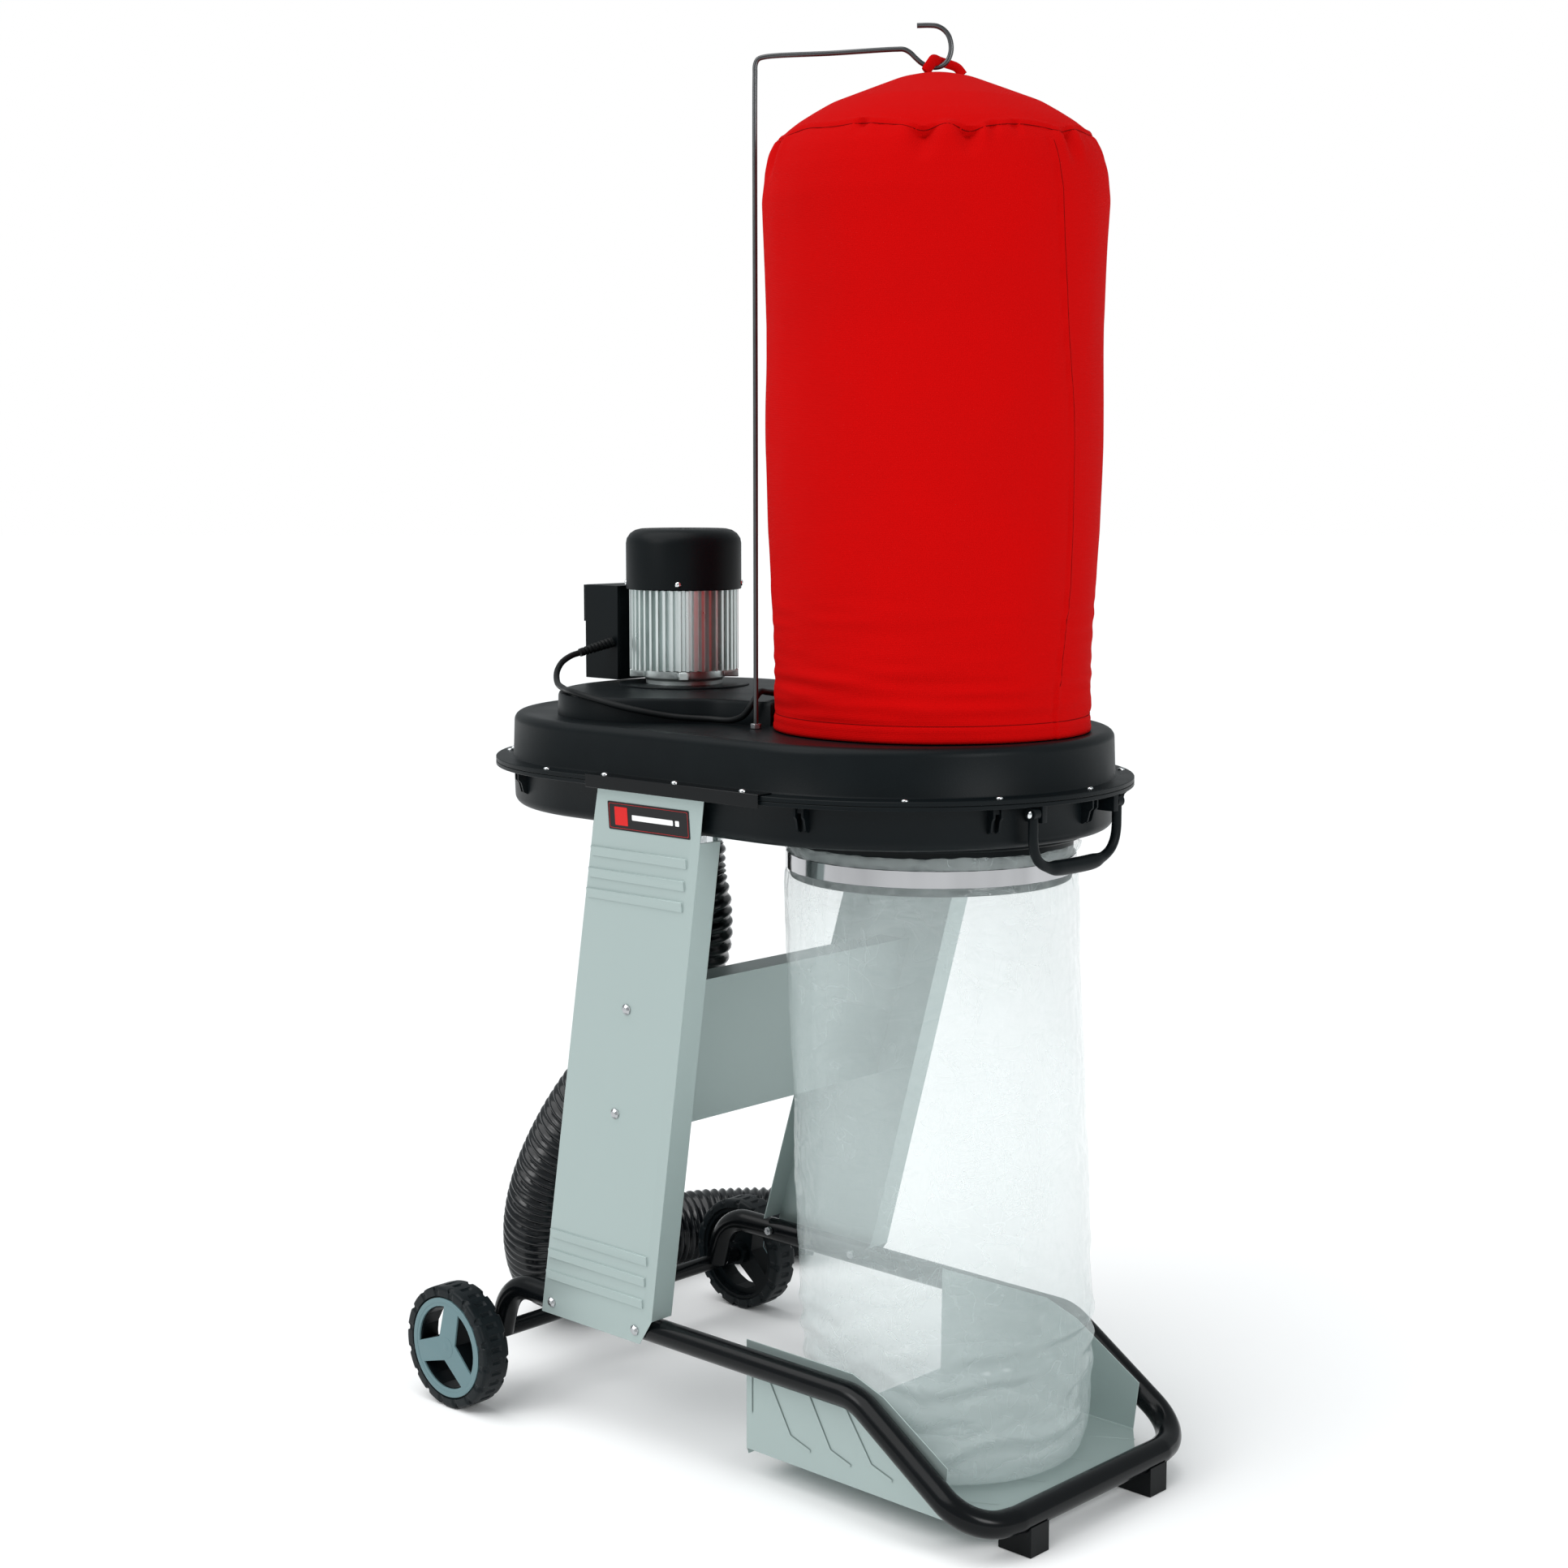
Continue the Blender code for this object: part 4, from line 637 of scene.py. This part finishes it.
def add_lower_housing():
    profile = [(0.24, 0.86), (0.2853, 0.86), (0.2857, 0.8594), (0.2857, 0.8558), (0.2851, 0.8552)]
    profile += [(0.266, 0.8552), (0.2635, 0.8545), (0.2622, 0.8525)]
    profile += edge_round(0.2612, 0.805, 0.0115, -1)
    base = shell("belly", profile)
    pipe = [(0.1722, 0.812), (0.1722, 0.752), (0.1705, 0.746), (0.1682, 0.745), (0.168, 0.812)]
    collar = lathe("collar", pipe, (BAG_X, 0, 0), 96)
    ring = [(0.186, 0.806), (0.186, 0.8), (0.1845, 0.7985), (0.17, 0.7985), (0.17, 0.806)]
    lip = lathe("lip", ring, (BAG_X, 0, 0), 96)
    inlet = [(0.05, 0.812), (0.05, 0.744), (0.049, 0.742), (0.046, 0.742), (0.046, 0.812)]
    spigot = lathe("spigot", inlet, (MOTOR_X, 0, 0))
    root = lathe("root", [(0.058, 0.807), (0.058, 0.799), (0.049, 0.799), (0.049, 0.807)], (MOTOR_X, 0, 0))
    parts = [base, collar, lip, spigot, root]
    rod = [(0.0, 0.0), (0.0025, 0.0), (0.0025, 0.0245), (0.0, 0.0245)]
    for side in (-1, 1):
        middle = side * 0.0683
        parts.append(block("lug", (0.372, middle - 0.0045, 0.836), (0.4215, middle + 0.0045, 0.858), 0.0012))
        parts.append(lathe("pin", rod, (HANDLE_X, side * 0.064, HANDLE_Z), 24, "Y", side, False))
    shown(merged("lower_shell", parts), "lower_housing", angle=32)


def outward(x, y):
    """The direction that the housing's wall faces at a place on its outline."""
    if abs(x - DECK_X) <= DECK_HALF:
        return Vector((0.0, math.copysign(1.0, y), 0.0))
    return Vector((x - DECK_X - math.copysign(DECK_HALF, x - DECK_X), y, 0.0)).normalized()


def prism(name, place, out, corners, edges):
    """A solid across the direction out, from one edge to the other; corners are (distance out, height)."""
    across = Vector((-out.y, out.x, 0))
    rings = []
    for edge in edges:
        rings.append([tuple(place + out * d + across * edge + Vector((0, 0, z))) for d, z in corners])
    return from_rings(name, rings, True, True)


def add_gussets():
    """Small pairs of hooked ribs between the belly and the flange, each pair joined by a bar."""
    hook = [(-0.004, FLANGE_FOOT), (0.015, FLANGE_FOOT), (0.015, 0.844), (0.011, 0.84), (0.008, 0.828)]
    hook += [(0.002, 0.825), (-0.004, 0.825)]
    bar = [(0.002, FLANGE_FOOT), (0.012, FLANGE_FOOT), (0.012, 0.848), (0.002, 0.848)]
    places = [(0.2196, -0.2509), (0.3815, -0.1127), (0.4055, 0.0274), (-0.4258, -0.059), (-0.268, -0.24)]
    places += [(0.2196, 0.2509), (0.34, 0.179), (-0.4258, 0.07), (-0.268, 0.24)]
    parts = []
    for x, y in places:
        out, place = outward(x, y), Vector((x, y, 0.0))
        for middle in (-0.005, 0.005):
            parts.append(prism("gusset", place, out, hook, (middle - 0.0014, middle + 0.0014)))
        parts.append(prism("gusset_bar", place, out, bar, (-0.0055, 0.0055)))
    extra(merged("flange_gussets", parts), "plastic_black")


def dome(centre, direction, radius, height, sides=14):
    """A rounded screw head on a surface."""
    turn = Vector(direction).to_track_quat("Z", "Y").to_matrix()
    rings = []
    foot = -0.0004
    for share, rise in ((1.0, foot / height), (1.0, 0.25), (0.86, 0.62), (0.55, 0.9), (0.2, 1.0)):
        r, z = share * radius, rise * height
        points = [Vector((r * math.cos(a), r * math.sin(a), z)) for a in turns(sides)]
        rings.append([tuple(Vector(centre) + turn @ point) for point in points])
    return from_rings("dome", rings, True, True)


def add_screws():
    """The shell screws round the flange, the rail bolts, the handle's pivots, and the axle caps."""
    parts = []
    flange = [(-0.389, -0.165), (-0.192, -0.2745), (0.208, -0.25), (0.33, -0.205), (0.392, -0.114)]
    flange += [(0.413, 0.027), (-0.445, 0.045), (-0.405, -0.145), (0.33, 0.205), (0.208, 0.25)]
    flange += [(-0.192, 0.2745), (-0.389, 0.165)]
    for x, y in flange:
        parts.append(dome((x, y, FLANGE_TOP), (0, 0, 1), 0.0044, 0.0026))
    for side in (-1, 1):
        for x in (-0.085, 0.036, 0.147):
            parts.append(dome((x, side * 0.276, 0.868), (0, 0, 1), 0.0046, 0.0028))
        parts.append(dome((HANDLE_X, side * 0.088, HANDLE_Z), (0, side, 0), 0.0046, 0.0022))
    extra(merged("shell_screws", parts), "bright_steel")
    for side, label in ((-1, "near"), (1, "far")):
        cap = dome((AXLE_X, side * 0.294, AXLE_Z), (0, side, 0), 0.0075, 0.0016, 20)
        cap.name = f"axle_cap_{label}"
        extra(cap, "hub_grey", f"wheel_{label}")


# --- frame and running gear
def add_frame():
    near = [
        ((AXLE_X + 0.0085, -FRAME_Y, AXLE_Z + 0.004), 0.0),
        ((AXLE_X + 0.03, -FRAME_Y, FRAME_Z), 0.055),
        ((0.262, -FRAME_Y, FRAME_Z), 0.06),
        ((0.435, -FRAME_Y, 0.0437), 0.06),
        ((0.45, -0.14, 0.0437), 0.02),
    ]
    far = [((x, -y, z), radius) for (x, y, z), radius in reversed(near)]
    obj = swept("bent_tube", rounded_path(near + far), 0.016, 28)
    shown(obj, "base_frame_tube", angle=50)
    profile = [(0.011, -0.2525), (0.011, 0.2525), (0.0064, 0.2525), (0.0064, -0.2525)]
    shown(lathe("axle_sleeve", profile, (AXLE_X, 0, AXLE_Z), 32, "Y"), "axle_tube")


def add_tyre(label, side):
    """A tyre with stepped blocks on both shoulders."""
    blocks = 16
    inner, outer, tread, shoulder = 0.2537, 0.2957, 0.0815, 0.069
    middle, half = (inner + outer) / 2, (outer - inner) / 2
    section = [(0.0685, inner + 0.001, 0.0)]
    for k in range(25):
        v = k / 24
        across = math.cos(math.pi * v)
        y = middle - across * half * (abs(across) ** -0.35 if abs(across) > 0.05 else 1)
        bulge = (1 - abs(2 * v - 1) ** 5) ** 0.5 if 0 < v < 1 else 0.0
        section.append((shoulder + (tread - shoulder) * bulge, min(outer, max(inner, y)), v))
    section.append((0.0685, outer - 0.001, 1.0))
    angles = turns(384)
    turn = angles / (2 * math.pi) * blocks
    rows = []
    for radius, y, v in section:
        phase = turn + (0.0 if v < 0.5 else 0.5) + 0.18 * math.sin(6 * v)
        part = phase % 1.0
        groove = np.clip((np.abs(part - 0.5) - 0.36) / 0.03, 0, 1)
        where = max(0.0, 1 - abs(abs(v - 0.5) - 0.34) / 0.16)
        centre = 1.0 if abs(v - 0.5) < 0.06 else 0.0
        zigzag = np.clip((np.abs((turn * 2 + 0.25) % 1.0 - 0.5) - 0.3) / 0.05, 0, 1)
        depth = 0.0038 * groove * min(1.0, 1.6 * where) + 0.0022 * centre * zigzag
        r = radius - (depth if radius > 0.072 else 0.6 * depth * (radius > 0.07))
        y_in = y - np.sign(y - middle) * 0.0012 * groove * (abs(v - 0.5) > 0.42)
        rows.append(np.stack([AXLE_X + r * np.cos(angles), side * y_in, AXLE_Z + r * np.sin(angles)], axis=1))
    obj = from_rings(f"knobbed_tyre_{label}", rows + [rows[0]])
    tidy(obj.data)
    shown(obj, f"tyre_{label}", angle=28)


def rounded_corners(outline, radius, steps=5):
    """A flat closed outline with its corners rounded."""
    made = []
    count = len(outline)
    for k in range(count):
        before, corner, after = (Vector(outline[(k + d) % count]) for d in (-1, 0, 1))
        back, ahead = (before - corner).normalized(), (after - corner).normalized()
        angle = back.angle(ahead)
        reach = radius / math.tan(angle / 2)
        centre = corner + (back + ahead).normalized() * radius / math.sin(angle / 2)
        first, last = corner + back * reach - centre, corner + ahead * reach - centre
        start = math.atan2(first.y, first.x)
        turn = (math.atan2(last.y, last.x) - start + math.pi) % (2 * math.pi) - math.pi
        for i in range(steps + 1):
            a = start + turn * i / steps
            made.append((centre.x + radius * math.cos(a), centre.y + radius * math.sin(a)))
    return made


def add_wheel_cover(label, side):
    """The grey three-armed star over a wheel's outer face."""
    rim = arc((AXLE_X, AXLE_Z), 0.0665, 0, 355, 71)
    holes = []
    for middle in (18, 138, 258):
        angle = math.radians(middle)
        hole = arc((AXLE_X, AXLE_Z), 0.0555, middle - 45, middle + 45, 10)
        holes.append(hole + [(AXLE_X + 0.0185 * math.cos(angle), AXLE_Z + 0.0185 * math.sin(angle))])
    low, high = sorted((side * STAR_BACK, side * 0.2947))
    disc = filled("star_disc", [rim, *holes], low, high, "Y", 0.0007)
    edge = [(0.0665, STAR_BACK), (0.0665, 0.2952), (0.064, 0.2956), (0.06, 0.295), (0.059, STAR_BACK)]
    ridge = lathe("star_ridge", edge, (AXLE_X, 0, AXLE_Z), 96, "Y", side)
    boss = [(0.0, STAR_BACK), (0.0145, STAR_BACK), (0.0135, 0.295), (0.0, 0.2953)]
    hub = lathe("star_hub", boss, (AXLE_X, 0, AXLE_Z), 48, "Y", side, False)
    shown(merged(f"star_cover_{label}", [disc, ridge, hub]), f"wheel_cover_{label}")


def ridge_line(start, end, out, width=0.003, proud=0.0006):
    """A low pressed line on sheet metal, fading into the sheet at both ends."""
    start, end, out = Vector(start), Vector(end), Vector(out)
    across = (end - start).cross(out).normalized()
    rows = []
    for t in np.linspace(0, 1, 13):
        lift = proud * max(0.0, math.sin(math.pi * t)) ** 0.4
        middle = start.lerp(end, t)
        rows.append([tuple(middle + across * (u * width / 2) + out * (lift * (1 - u * u)))
                     for u in (-1.0, -0.5, 0.0, 0.5, 1.0)])
    return from_rings("press", rows, around=False)


def add_tray_pressings():
    """The lines pressed into the tray's sides and floor."""
    parts = []
    for side in (-1, 1):
        y = side * 0.1893
        lines = [((0.0745, 0.16), (0.0745, 0.085))]
        for x in (0.085, 0.15, 0.215, 0.28):
            lines.append(((x, 0.165 if x < 0.2 else 0.15), (x + 0.055, 0.072)))
            lines.append(((x + 0.055, 0.072), (x + 0.088, 0.062)))
        for (x0, z0), (x1, z1) in lines:
            parts.append(ridge_line((x0, y, z0), (x1, y, z1), (0, side, 0), 0.004, 0.00035))
    for x in (0.11, 0.19, 0.27, 0.35):
        for y in (-0.14, -0.05, 0.04, 0.13):
            parts.append(ridge_line((x, y, 0.0383), (x + 0.05, y + 0.03, 0.0383), (0, 0, 1)))
    extra(merged("tray_pressings", parts), "sheet_steel", angle=60)


def leg_y(z):
    """How far the near leg's outer face is from the middle plane at a height."""
    return 0.2757 - (0.8545 - z) * 0.0753


def panel(x0, x1, z0, z1, radius=0.002):
    return rounded_corners([(x0, z0), (x1, z0), (x1, z1), (x0, z1)], radius)


def add_label():
    """A blank dark label with a thin red line and plain marks, on the near leg."""
    low_x, high_x, low_z, high_z = -0.082, 0.0575, 0.802, 0.8365
    rings = [panel(low_x + d, high_x - d, low_z + d, high_z - d) for d in (0.0022, 0.00255)]
    for name, outlines, proud, material in (
        ("label_base", [panel(low_x, high_x, low_z, high_z)], 0.0004, "label_black"),
        ("label_line", rings, 0.0006, "label_red"),
        ("label_square", [panel(-0.07, -0.048, 0.808, 0.8305, 0.001)], 0.0007, "label_red"),
        ("label_bar_long", [panel(-0.04, 0.03, 0.816, 0.8225, 0.001)], 0.0007, "label_white"),
        ("label_dot", [panel(0.034, 0.0405, 0.816, 0.8225, 0.001)], 0.0007, "label_white"),
    ):
        obj = filled(name, outlines, -0.0002, 0.0002, "Y")
        for vertex in obj.data.vertices:
            vertex.co.y -= leg_y(vertex.co.z) + proud
        extra(obj, material)


# --- motor
def blocks_round(name, count, low, high, bevel):
    """Blocks at even angles round the motor's axis."""
    made = []
    for a in turns(count):
        piece = block(name, low, high, bevel)
        piece.data.transform(Matrix.Translation((MOTOR_X, 0, 0)) @ Matrix.Rotation(a, 4, "Z"))
        made.append(piece)
    return made


def add_motor():
    fins, outline = 44, []
    for k in range(fins):
        for part, radius in ((-0.3, 0.063), (-0.17, 0.0718), (0.17, 0.0718), (0.3, 0.063)):
            angle = 2 * math.pi * (k + part) / fins
            outline.append((MOTOR_X + radius * math.cos(angle), radius * math.sin(angle)))
    bore = arc((MOTOR_X, 0), 0.058, 0, 355, 71)
    shown(filled("finned_case", [outline, bore], 0.9738, 1.0778), "motor_body", angle=25)
    top = COWL_TOP
    profile = [(0.02, top - 0.0015), (0.0225, top), (0.056, top), (0.0635, top - 0.0018), (0.07, top - 0.006),
               (0.0745, top - 0.0125), (0.0758, top - 0.019), (0.0758, 1.0795), (0.0752, 1.0785),
               (0.0735, 1.0785), (0.073, top - 0.02), (0.066, top - 0.0085), (0.02, top - 0.0035)]
    cover = lathe("cowl", profile, (MOTOR_X, 0, 0), 96)
    boss = [(0.0, top - 0.0035), (0.013, top - 0.0035), (0.013, top - 0.0008), (0.0, top - 0.0004)]
    hub = lathe("cowl_hub", boss, (MOTOR_X, 0, 0), 48, closed=False)
    spokes = blocks_round("spoke", 18, (0.012, -0.0011, top - 0.0032), (0.024, 0.0011, top - 0.0006), 0.0004)
    shown(merged("motor_cowl", [cover, hub, *spokes]), "fan_cover", angle=30)
    # Painted shade: flat dark strips, nearly flush with the cowl's top, stand for the vent slots, whose
    # openings are dark with shade.
    slots = blocks_round("slot", 24, (0.03, -0.0013, top - 0.0004), (0.052, 0.0013, top + 0.0001), 0.0)
    extra(merged("cowl_slot_painted_shade", slots), "label_black")
    heads = []
    for degrees in (-50, 40, 130, 220):
        a = math.radians(degrees)
        out = (math.cos(a), math.sin(a), 0)
        heads.append(dome((MOTOR_X + 0.0757 * out[0], 0.0757 * out[1], 1.086), out, 0.0042, 0.0026))
    extra(merged("cowl_screws", heads), "bright_steel")
    recast("drive_end_shield", 0.0012, 3)
    recast("fan_end_shield", 0.0006)


# --- bags
def skin_rows(profile, count, smoothing):
    """Even rows along a (radius, height) profile, smoothed, each with the profile's direction there."""
    rows = evenly(np.array(profile, float), count)
    for _ in range(smoothing):
        rows[1:-1] = (rows[:-2] + 2 * rows[1:-1] + rows[2:]) / 4
    slope = np.gradient(rows, axis=0)
    return zip(rows, slope / np.linalg.norm(slope, axis=1)[:, None])


def bell(x, width):
    return np.exp(-((x / width) ** 2))


def angle_gap(angles, degrees):
    """How far angles in radians are from one in degrees, the short way round."""
    return (angles - math.radians(degrees) + math.pi) % (2 * math.pi) - math.pi


def seam_angle(z):
    return float(np.interp(z, SEAM_HEIGHTS, SEAM_ANGLES))


def cap_seam(angles):
    """The height of the shoulder seam, which dips at the deepest puckers."""
    height = 1.6165 + 0.0025 * np.sin(3 * angles + 0.6) + 0.0012 * np.sin(13 * angles)
    dips = ((-54.0, 0.008, 0.09), (-39.0, 0.0075, 0.08), (0.0, 0.005, 0.12), (-122.0, 0.006, 0.12))
    for degrees, dip, width in dips:
        height = height - dip * bell(angle_gap(angles, degrees), width)
    return height


def on_surface(rings, angle, z, lift):
    """The point of a turned skin at an angle and a height, a little way outside it."""
    sides = rings.shape[1]
    at = (angle % (2 * math.pi)) / (2 * math.pi) * sides
    j, share = int(at) % sides, at - int(at)
    column = rings[:, j] * (1 - share) + rings[:, (j + 1) % sides] * share
    i = int(np.argmax(column[:, 2] > z))
    low, high = column[i - 1], column[i]
    point = low + (high - low) * (z - low[2]) / max(1e-6, high[2] - low[2])
    out = np.array([math.cos(angle), math.sin(angle), 0.35])
    return tuple(point + lift * out / np.linalg.norm(out))


def add_filter_bag():
    """The red cloth bag: shoulder seam with puckers, one upright seam, a hem, and folds at the foot."""
    profile = [
        (0.19, 0.924), (0.19, 0.97), (0.191, 1.02), (0.194, 1.07), (0.196, 1.12),
        (0.198, 1.16), (0.1996, 1.26), (0.199, 1.4), (0.201, 1.45), (0.2025, 1.5),
        (0.2045, 1.544), (0.201, 1.575), (0.195, 1.596), (0.185, 1.612), (0.1775, 1.621),
        (0.1635, 1.632), (0.146, 1.643), (0.127, 1.654), (0.099, 1.665), (0.071, 1.676),
        (0.045, 1.686), (0.02, 1.6915), (0.002, 1.693),
    ]
    count, sides = ((300, 288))
    angles = turns(sides)
    seam_z = cap_seam(angles)
    rings = []
    for (radius, z), (dr, dz) in skin_rows(profile, count, 3):
        push = np.zeros(sides)
        side = 1.0 if z < CAP_Z else max(0.0, (1.69 - z) / 0.09)
        foot = bell(z - 0.975, 0.04) + 0.5 * bell(z - 1.06, 0.03)
        for j, a in enumerate(angles):
            x, y = math.cos(a) * 0.2, math.sin(a) * 0.2
            push[j] += 0.0024 * side * noise.noise(Vector((x * 9, y * 9, z * 4)))
            push[j] += 0.0011 * side * noise.noise(Vector((x * 22 + 5, y * 22, z * 13)))
            push[j] += 0.0034 * foot * noise.noise(Vector((x * 10, y * 10 + 7, z * 75)))
        push += 0.0018 * bell(z - seam_z, 0.0022) - 0.0016 * bell(z - seam_z + 0.0048, 0.0022)
        for at, size, depth, drop in PUCKERS:
            below = (seam_z - z) / drop
            wedge = np.where((below > 0) & (below < 1), (1 - below) * np.clip(below / 0.1, 0, 1), 0.0)
            gap = angle_gap(angles, at)
            push -= depth * wedge * bell(gap, size)
            push += 0.35 * depth * wedge * (bell(gap - 1.8 * size, size) + bell(gap + 1.8 * size, size))
        if z < CAP_Z:
            line = angle_gap(angles, seam_angle(z)) * 0.2
            push += 0.0013 * bell(line, 0.0035) - 0.0014 * bell(line + 0.005, 0.0018)
        push += 0.0014 * bell(z - 0.929, 0.0045) - 0.0012 * bell(z - HEM_Z, 0.0018)
        push += 0.001 * bell(z - 0.9385, 0.004)
        r = radius + push * dz
        rings.append(np.stack([BAG_X + r * np.cos(angles), r * np.sin(angles), z - push * dr], axis=1))
    obj = from_rings("cloth_bag", rings, False, True)
    thick = obj.modifiers.new("cloth", "SOLIDIFY")
    thick.thickness = 0.0015
    thick.offset = -1.0
    shown(obj, "filter_bag", angle=60)
    rings = np.array(rings)
    around = np.linspace(0, 2 * math.pi, 260)
    lines = [
        [(math.radians(seam_angle(z)) + 0.012, z) for z in np.arange(0.985, CAP_Z, 0.006)],
        [(a, float(cap_seam(a)) - 0.004) for a in around],
        [(a, HEM_Z) for a in around],
    ]
    threads = []
    for line in lines:
        threads.append(swept("thread", [on_surface(rings, a, z, -0.0002) for a, z in line], 0.0006, 6))
    stitching = extra(merged("bag_stitching", threads), "thread")


def add_loop():
    """The cloth loop on top of the bag, over the rod's hook."""
    aside = Vector((-ROD_AHEAD.y, ROD_AHEAD.x, 0.0))
    route = [(0.198, 1.6915, -0.018), (0.2035, 1.7, -0.014), (0.208, 1.706, -0.0075), (0.213, 1.7075, 0.0),
             (0.218, 1.7068, 0.0078), (0.226, 1.705, 0.0118), (0.237, 1.701, 0.0125), (0.244, 1.6925, 0.0115)]
    points = [ROD_FOOT + ROD_AHEAD * s + aside * t + Vector((0, 0, z)) for s, z, t in route]
    line = smooth_path(points, 0.0015)

    def strap(distance, angles):
        return 0.0042 / np.sqrt((np.cos(angles) * 1.55) ** 2 + (np.sin(angles) * 0.62) ** 2)

    shown(swept("cloth_loop", line, strap, 20), "hanging_loop", angle=60)


def add_rod():
    """The bent rod: each point of its route is (distance from its foot, height)."""
    route = [(0.0, 0.905), (0.0, 1.3), (0.0, 1.69), (0.0005, 1.702), (0.0035, 1.7078), (0.011, 1.7105),
             (0.09, 1.715), (0.165, 1.7197), (0.174, 1.7195), (0.181, 1.716), (0.188, 1.7095),
             (0.195, 1.7038), (0.203, 1.7003), (0.211, 1.6992), (0.218, 1.7008), (0.2235, 1.705),
             (0.2272, 1.7112), (0.229, 1.719), (0.2285, 1.7275), (0.2255, 1.736), (0.22, 1.7422),
             (0.2125, 1.746), (0.204, 1.7469), (0.189, 1.7466)]
    line = smooth_path([ROD_FOOT + ROD_AHEAD * s + Vector((0, 0, z)) for s, z in route], 0.002)
    shown(swept("bent_rod", line, 0.003, 12), "hanger_rod", "rod_dark", angle=60)
    recast("rod_nut", 0.0004)


def lean(z):
    """How far forward the film bag hangs at a height."""
    return 0.058 * max(0.0, 0.736 - z)


def add_collection_bag():
    """The clear film bag: gathered under the band, crumpled above it, creased, and slumped on the tray."""
    profile = [
        (0.177, 0.79), (0.1765, 0.784), (0.1748, 0.778), (0.1743, 0.776), (0.1743, 0.756),
        (0.1762, 0.75), (0.1782, 0.73), (0.1785, 0.65), (0.1785, 0.52), (0.1785, 0.32),
        (0.18, 0.23), (0.1785, 0.19), (0.177, 0.15), (0.172, 0.107), (0.167, 0.07),
        (0.16, 0.048), (0.145, 0.041), (0.1, 0.04), (0.05, 0.04), (0.003, 0.04),
    ]
    folds = ((0.222, 0.0046), (0.188, 0.006), (0.15, 0.0044), (0.105, 0.005), (0.3, 0.0022))
    count, sides = ((330, 320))
    angles = turns(sides)
    rings = []
    for (radius, z), (dr, dz) in skin_rows(profile, count, 2):
        push = np.zeros(sides)
        free = 0.0 if BAND_LOW < z < BAND_HIGH else 1.0 if z > 0.06 else 0.3
        top = bell(z - 0.786, 0.007)
        neck = math.exp(-max(0.0, 0.752 - z) / 0.05) if z < 0.752 else 0.0
        low = bell(z - 0.15, 0.11)
        for j, a in enumerate(angles):
            c, s = math.cos(a), math.sin(a)
            q = Vector((c * 2.0, s * 2.0, z * 5))
            value = 0.003 * noise.noise(q * 1.4)
            crease = noise.noise(Vector((c * 3.2 + 3, s * 3.2, z * 17)))
            value += 0.0042 * (abs(crease) ** 0.6 - 0.45) * (0.3 + 0.5 * low)
            swirl = 0.035 * noise.noise(Vector((c * 1.6 + 9, s * 1.6, z * 2)))
            for height, size in folds:
                reach = max(0.0, 0.35 + noise.noise(Vector((c * 1.7, s * 1.7, height * 40))))
                gap = (z - height - swirl * (1 + height)) / 0.0085
                value += size * reach * (bell(gap, 1.0) - 0.8 * bell(gap + 1.9, 1.1))
            fine = noise.noise(Vector((c * 9, s * 9 + 4, z * 34)))
            value += 0.0013 * (abs(fine) ** 0.7 - 0.4)
            value += 0.005 * neck * noise.noise(Vector((c * 14, s * 14, z * 2)))
            crumple = noise.noise(Vector((c * 17, s * 17, z * 60)))
            push[j] = free * value + 0.0055 * top * (0.35 + crumple)
        push = np.clip(push, -0.012, 0.004 if z < BAND_HIGH else 0.009)
        r = radius + push * abs(dz)
        height = z + (push * 0.6 if z > 0.783 else 0) + np.abs(push) * abs(dr) * 0.8
        rings.append(np.stack([BAG_X + lean(z) + r * np.cos(angles), r * np.sin(angles), height], axis=1))
    obj = from_rings("film_bag", rings, False, True)
    shown(obj, "collection_bag", angle=180)


# --- handle
def add_handle():
    half = [(0.08, 0.849), (0.08, 0.83), (0.0797, 0.815), (0.0765, 0.802), (0.0695, 0.792),
            (0.059, 0.7855), (0.045, 0.7815), (0.03, 0.78)]
    points = [(-y, z) for y, z in half] + [(0.0, 0.7795)] + half[::-1]
    line = smooth_path([(HANDLE_X, y, z) for y, z in points], 0.002)
    total = distances(line)[-1]

    def thickness(distance, angles):
        grip = 1 / (1 + math.exp((abs(distance - total / 2) - 0.045) / 0.004))
        return np.full(len(angles), 0.0058 + 0.0035 * grip)

    parts = [swept("bow", line, thickness, 20)]
    for side in (-1, 1):
        eye = [(0.003, 0.0745), (0.0072, 0.0745), (0.0072, 0.0855), (0.003, 0.0855)]
        parts.append(lathe("eye", eye, (HANDLE_X, 0, HANDLE_Z), 32, "Y", side))
    shown(merged("swing_handle", parts), "carry_handle", angle=45)


def add_rest():
    """Every other CAD node with its own material; the listed ones are recast with their edges rounded."""
    bevels = {
        "dust_tray": 0.0004, "cross_panel": 0.0005, "side_leg_near": 0.0006, "side_leg_far": 0.0006,
        "switch_box": 0.0015, "switch_box_lid": 0.0008, "start_button": 0.0012, "stop_button": 0.0012,
        "rubber_foot_near": 0.002, "rubber_foot_far": 0.002, "clamp_band": 0.0003, "clamp_lever": 0.0006,
        "flange_rail_near": 0.0006, "flange_rail_far": 0.0006,
    }
    for node, source in list(frame["nodes"].items()):
        if source.hide_render:
            continue
        if node in bevels:
            recast(node, bevels[node], material="chrome_with_painted_reflection" if node.startswith("clamp") else None)
            continue
        source.data.materials.clear()
        source.data.materials.append(MATERIALS[SLOTS[node]])


set_camera()
add_hose()
add_lead()
set_studio()
add_upper_housing()
add_lower_housing()
add_gussets()
add_screws()
add_frame()
for label, side in (("near", -1), ("far", 1)):
    add_tyre(label, side)
    add_wheel_cover(label, side)
add_tray_pressings()
add_label()
add_motor()
add_filter_bag()
add_loop()
add_rod()
add_collection_bag()
add_handle()
add_rest()
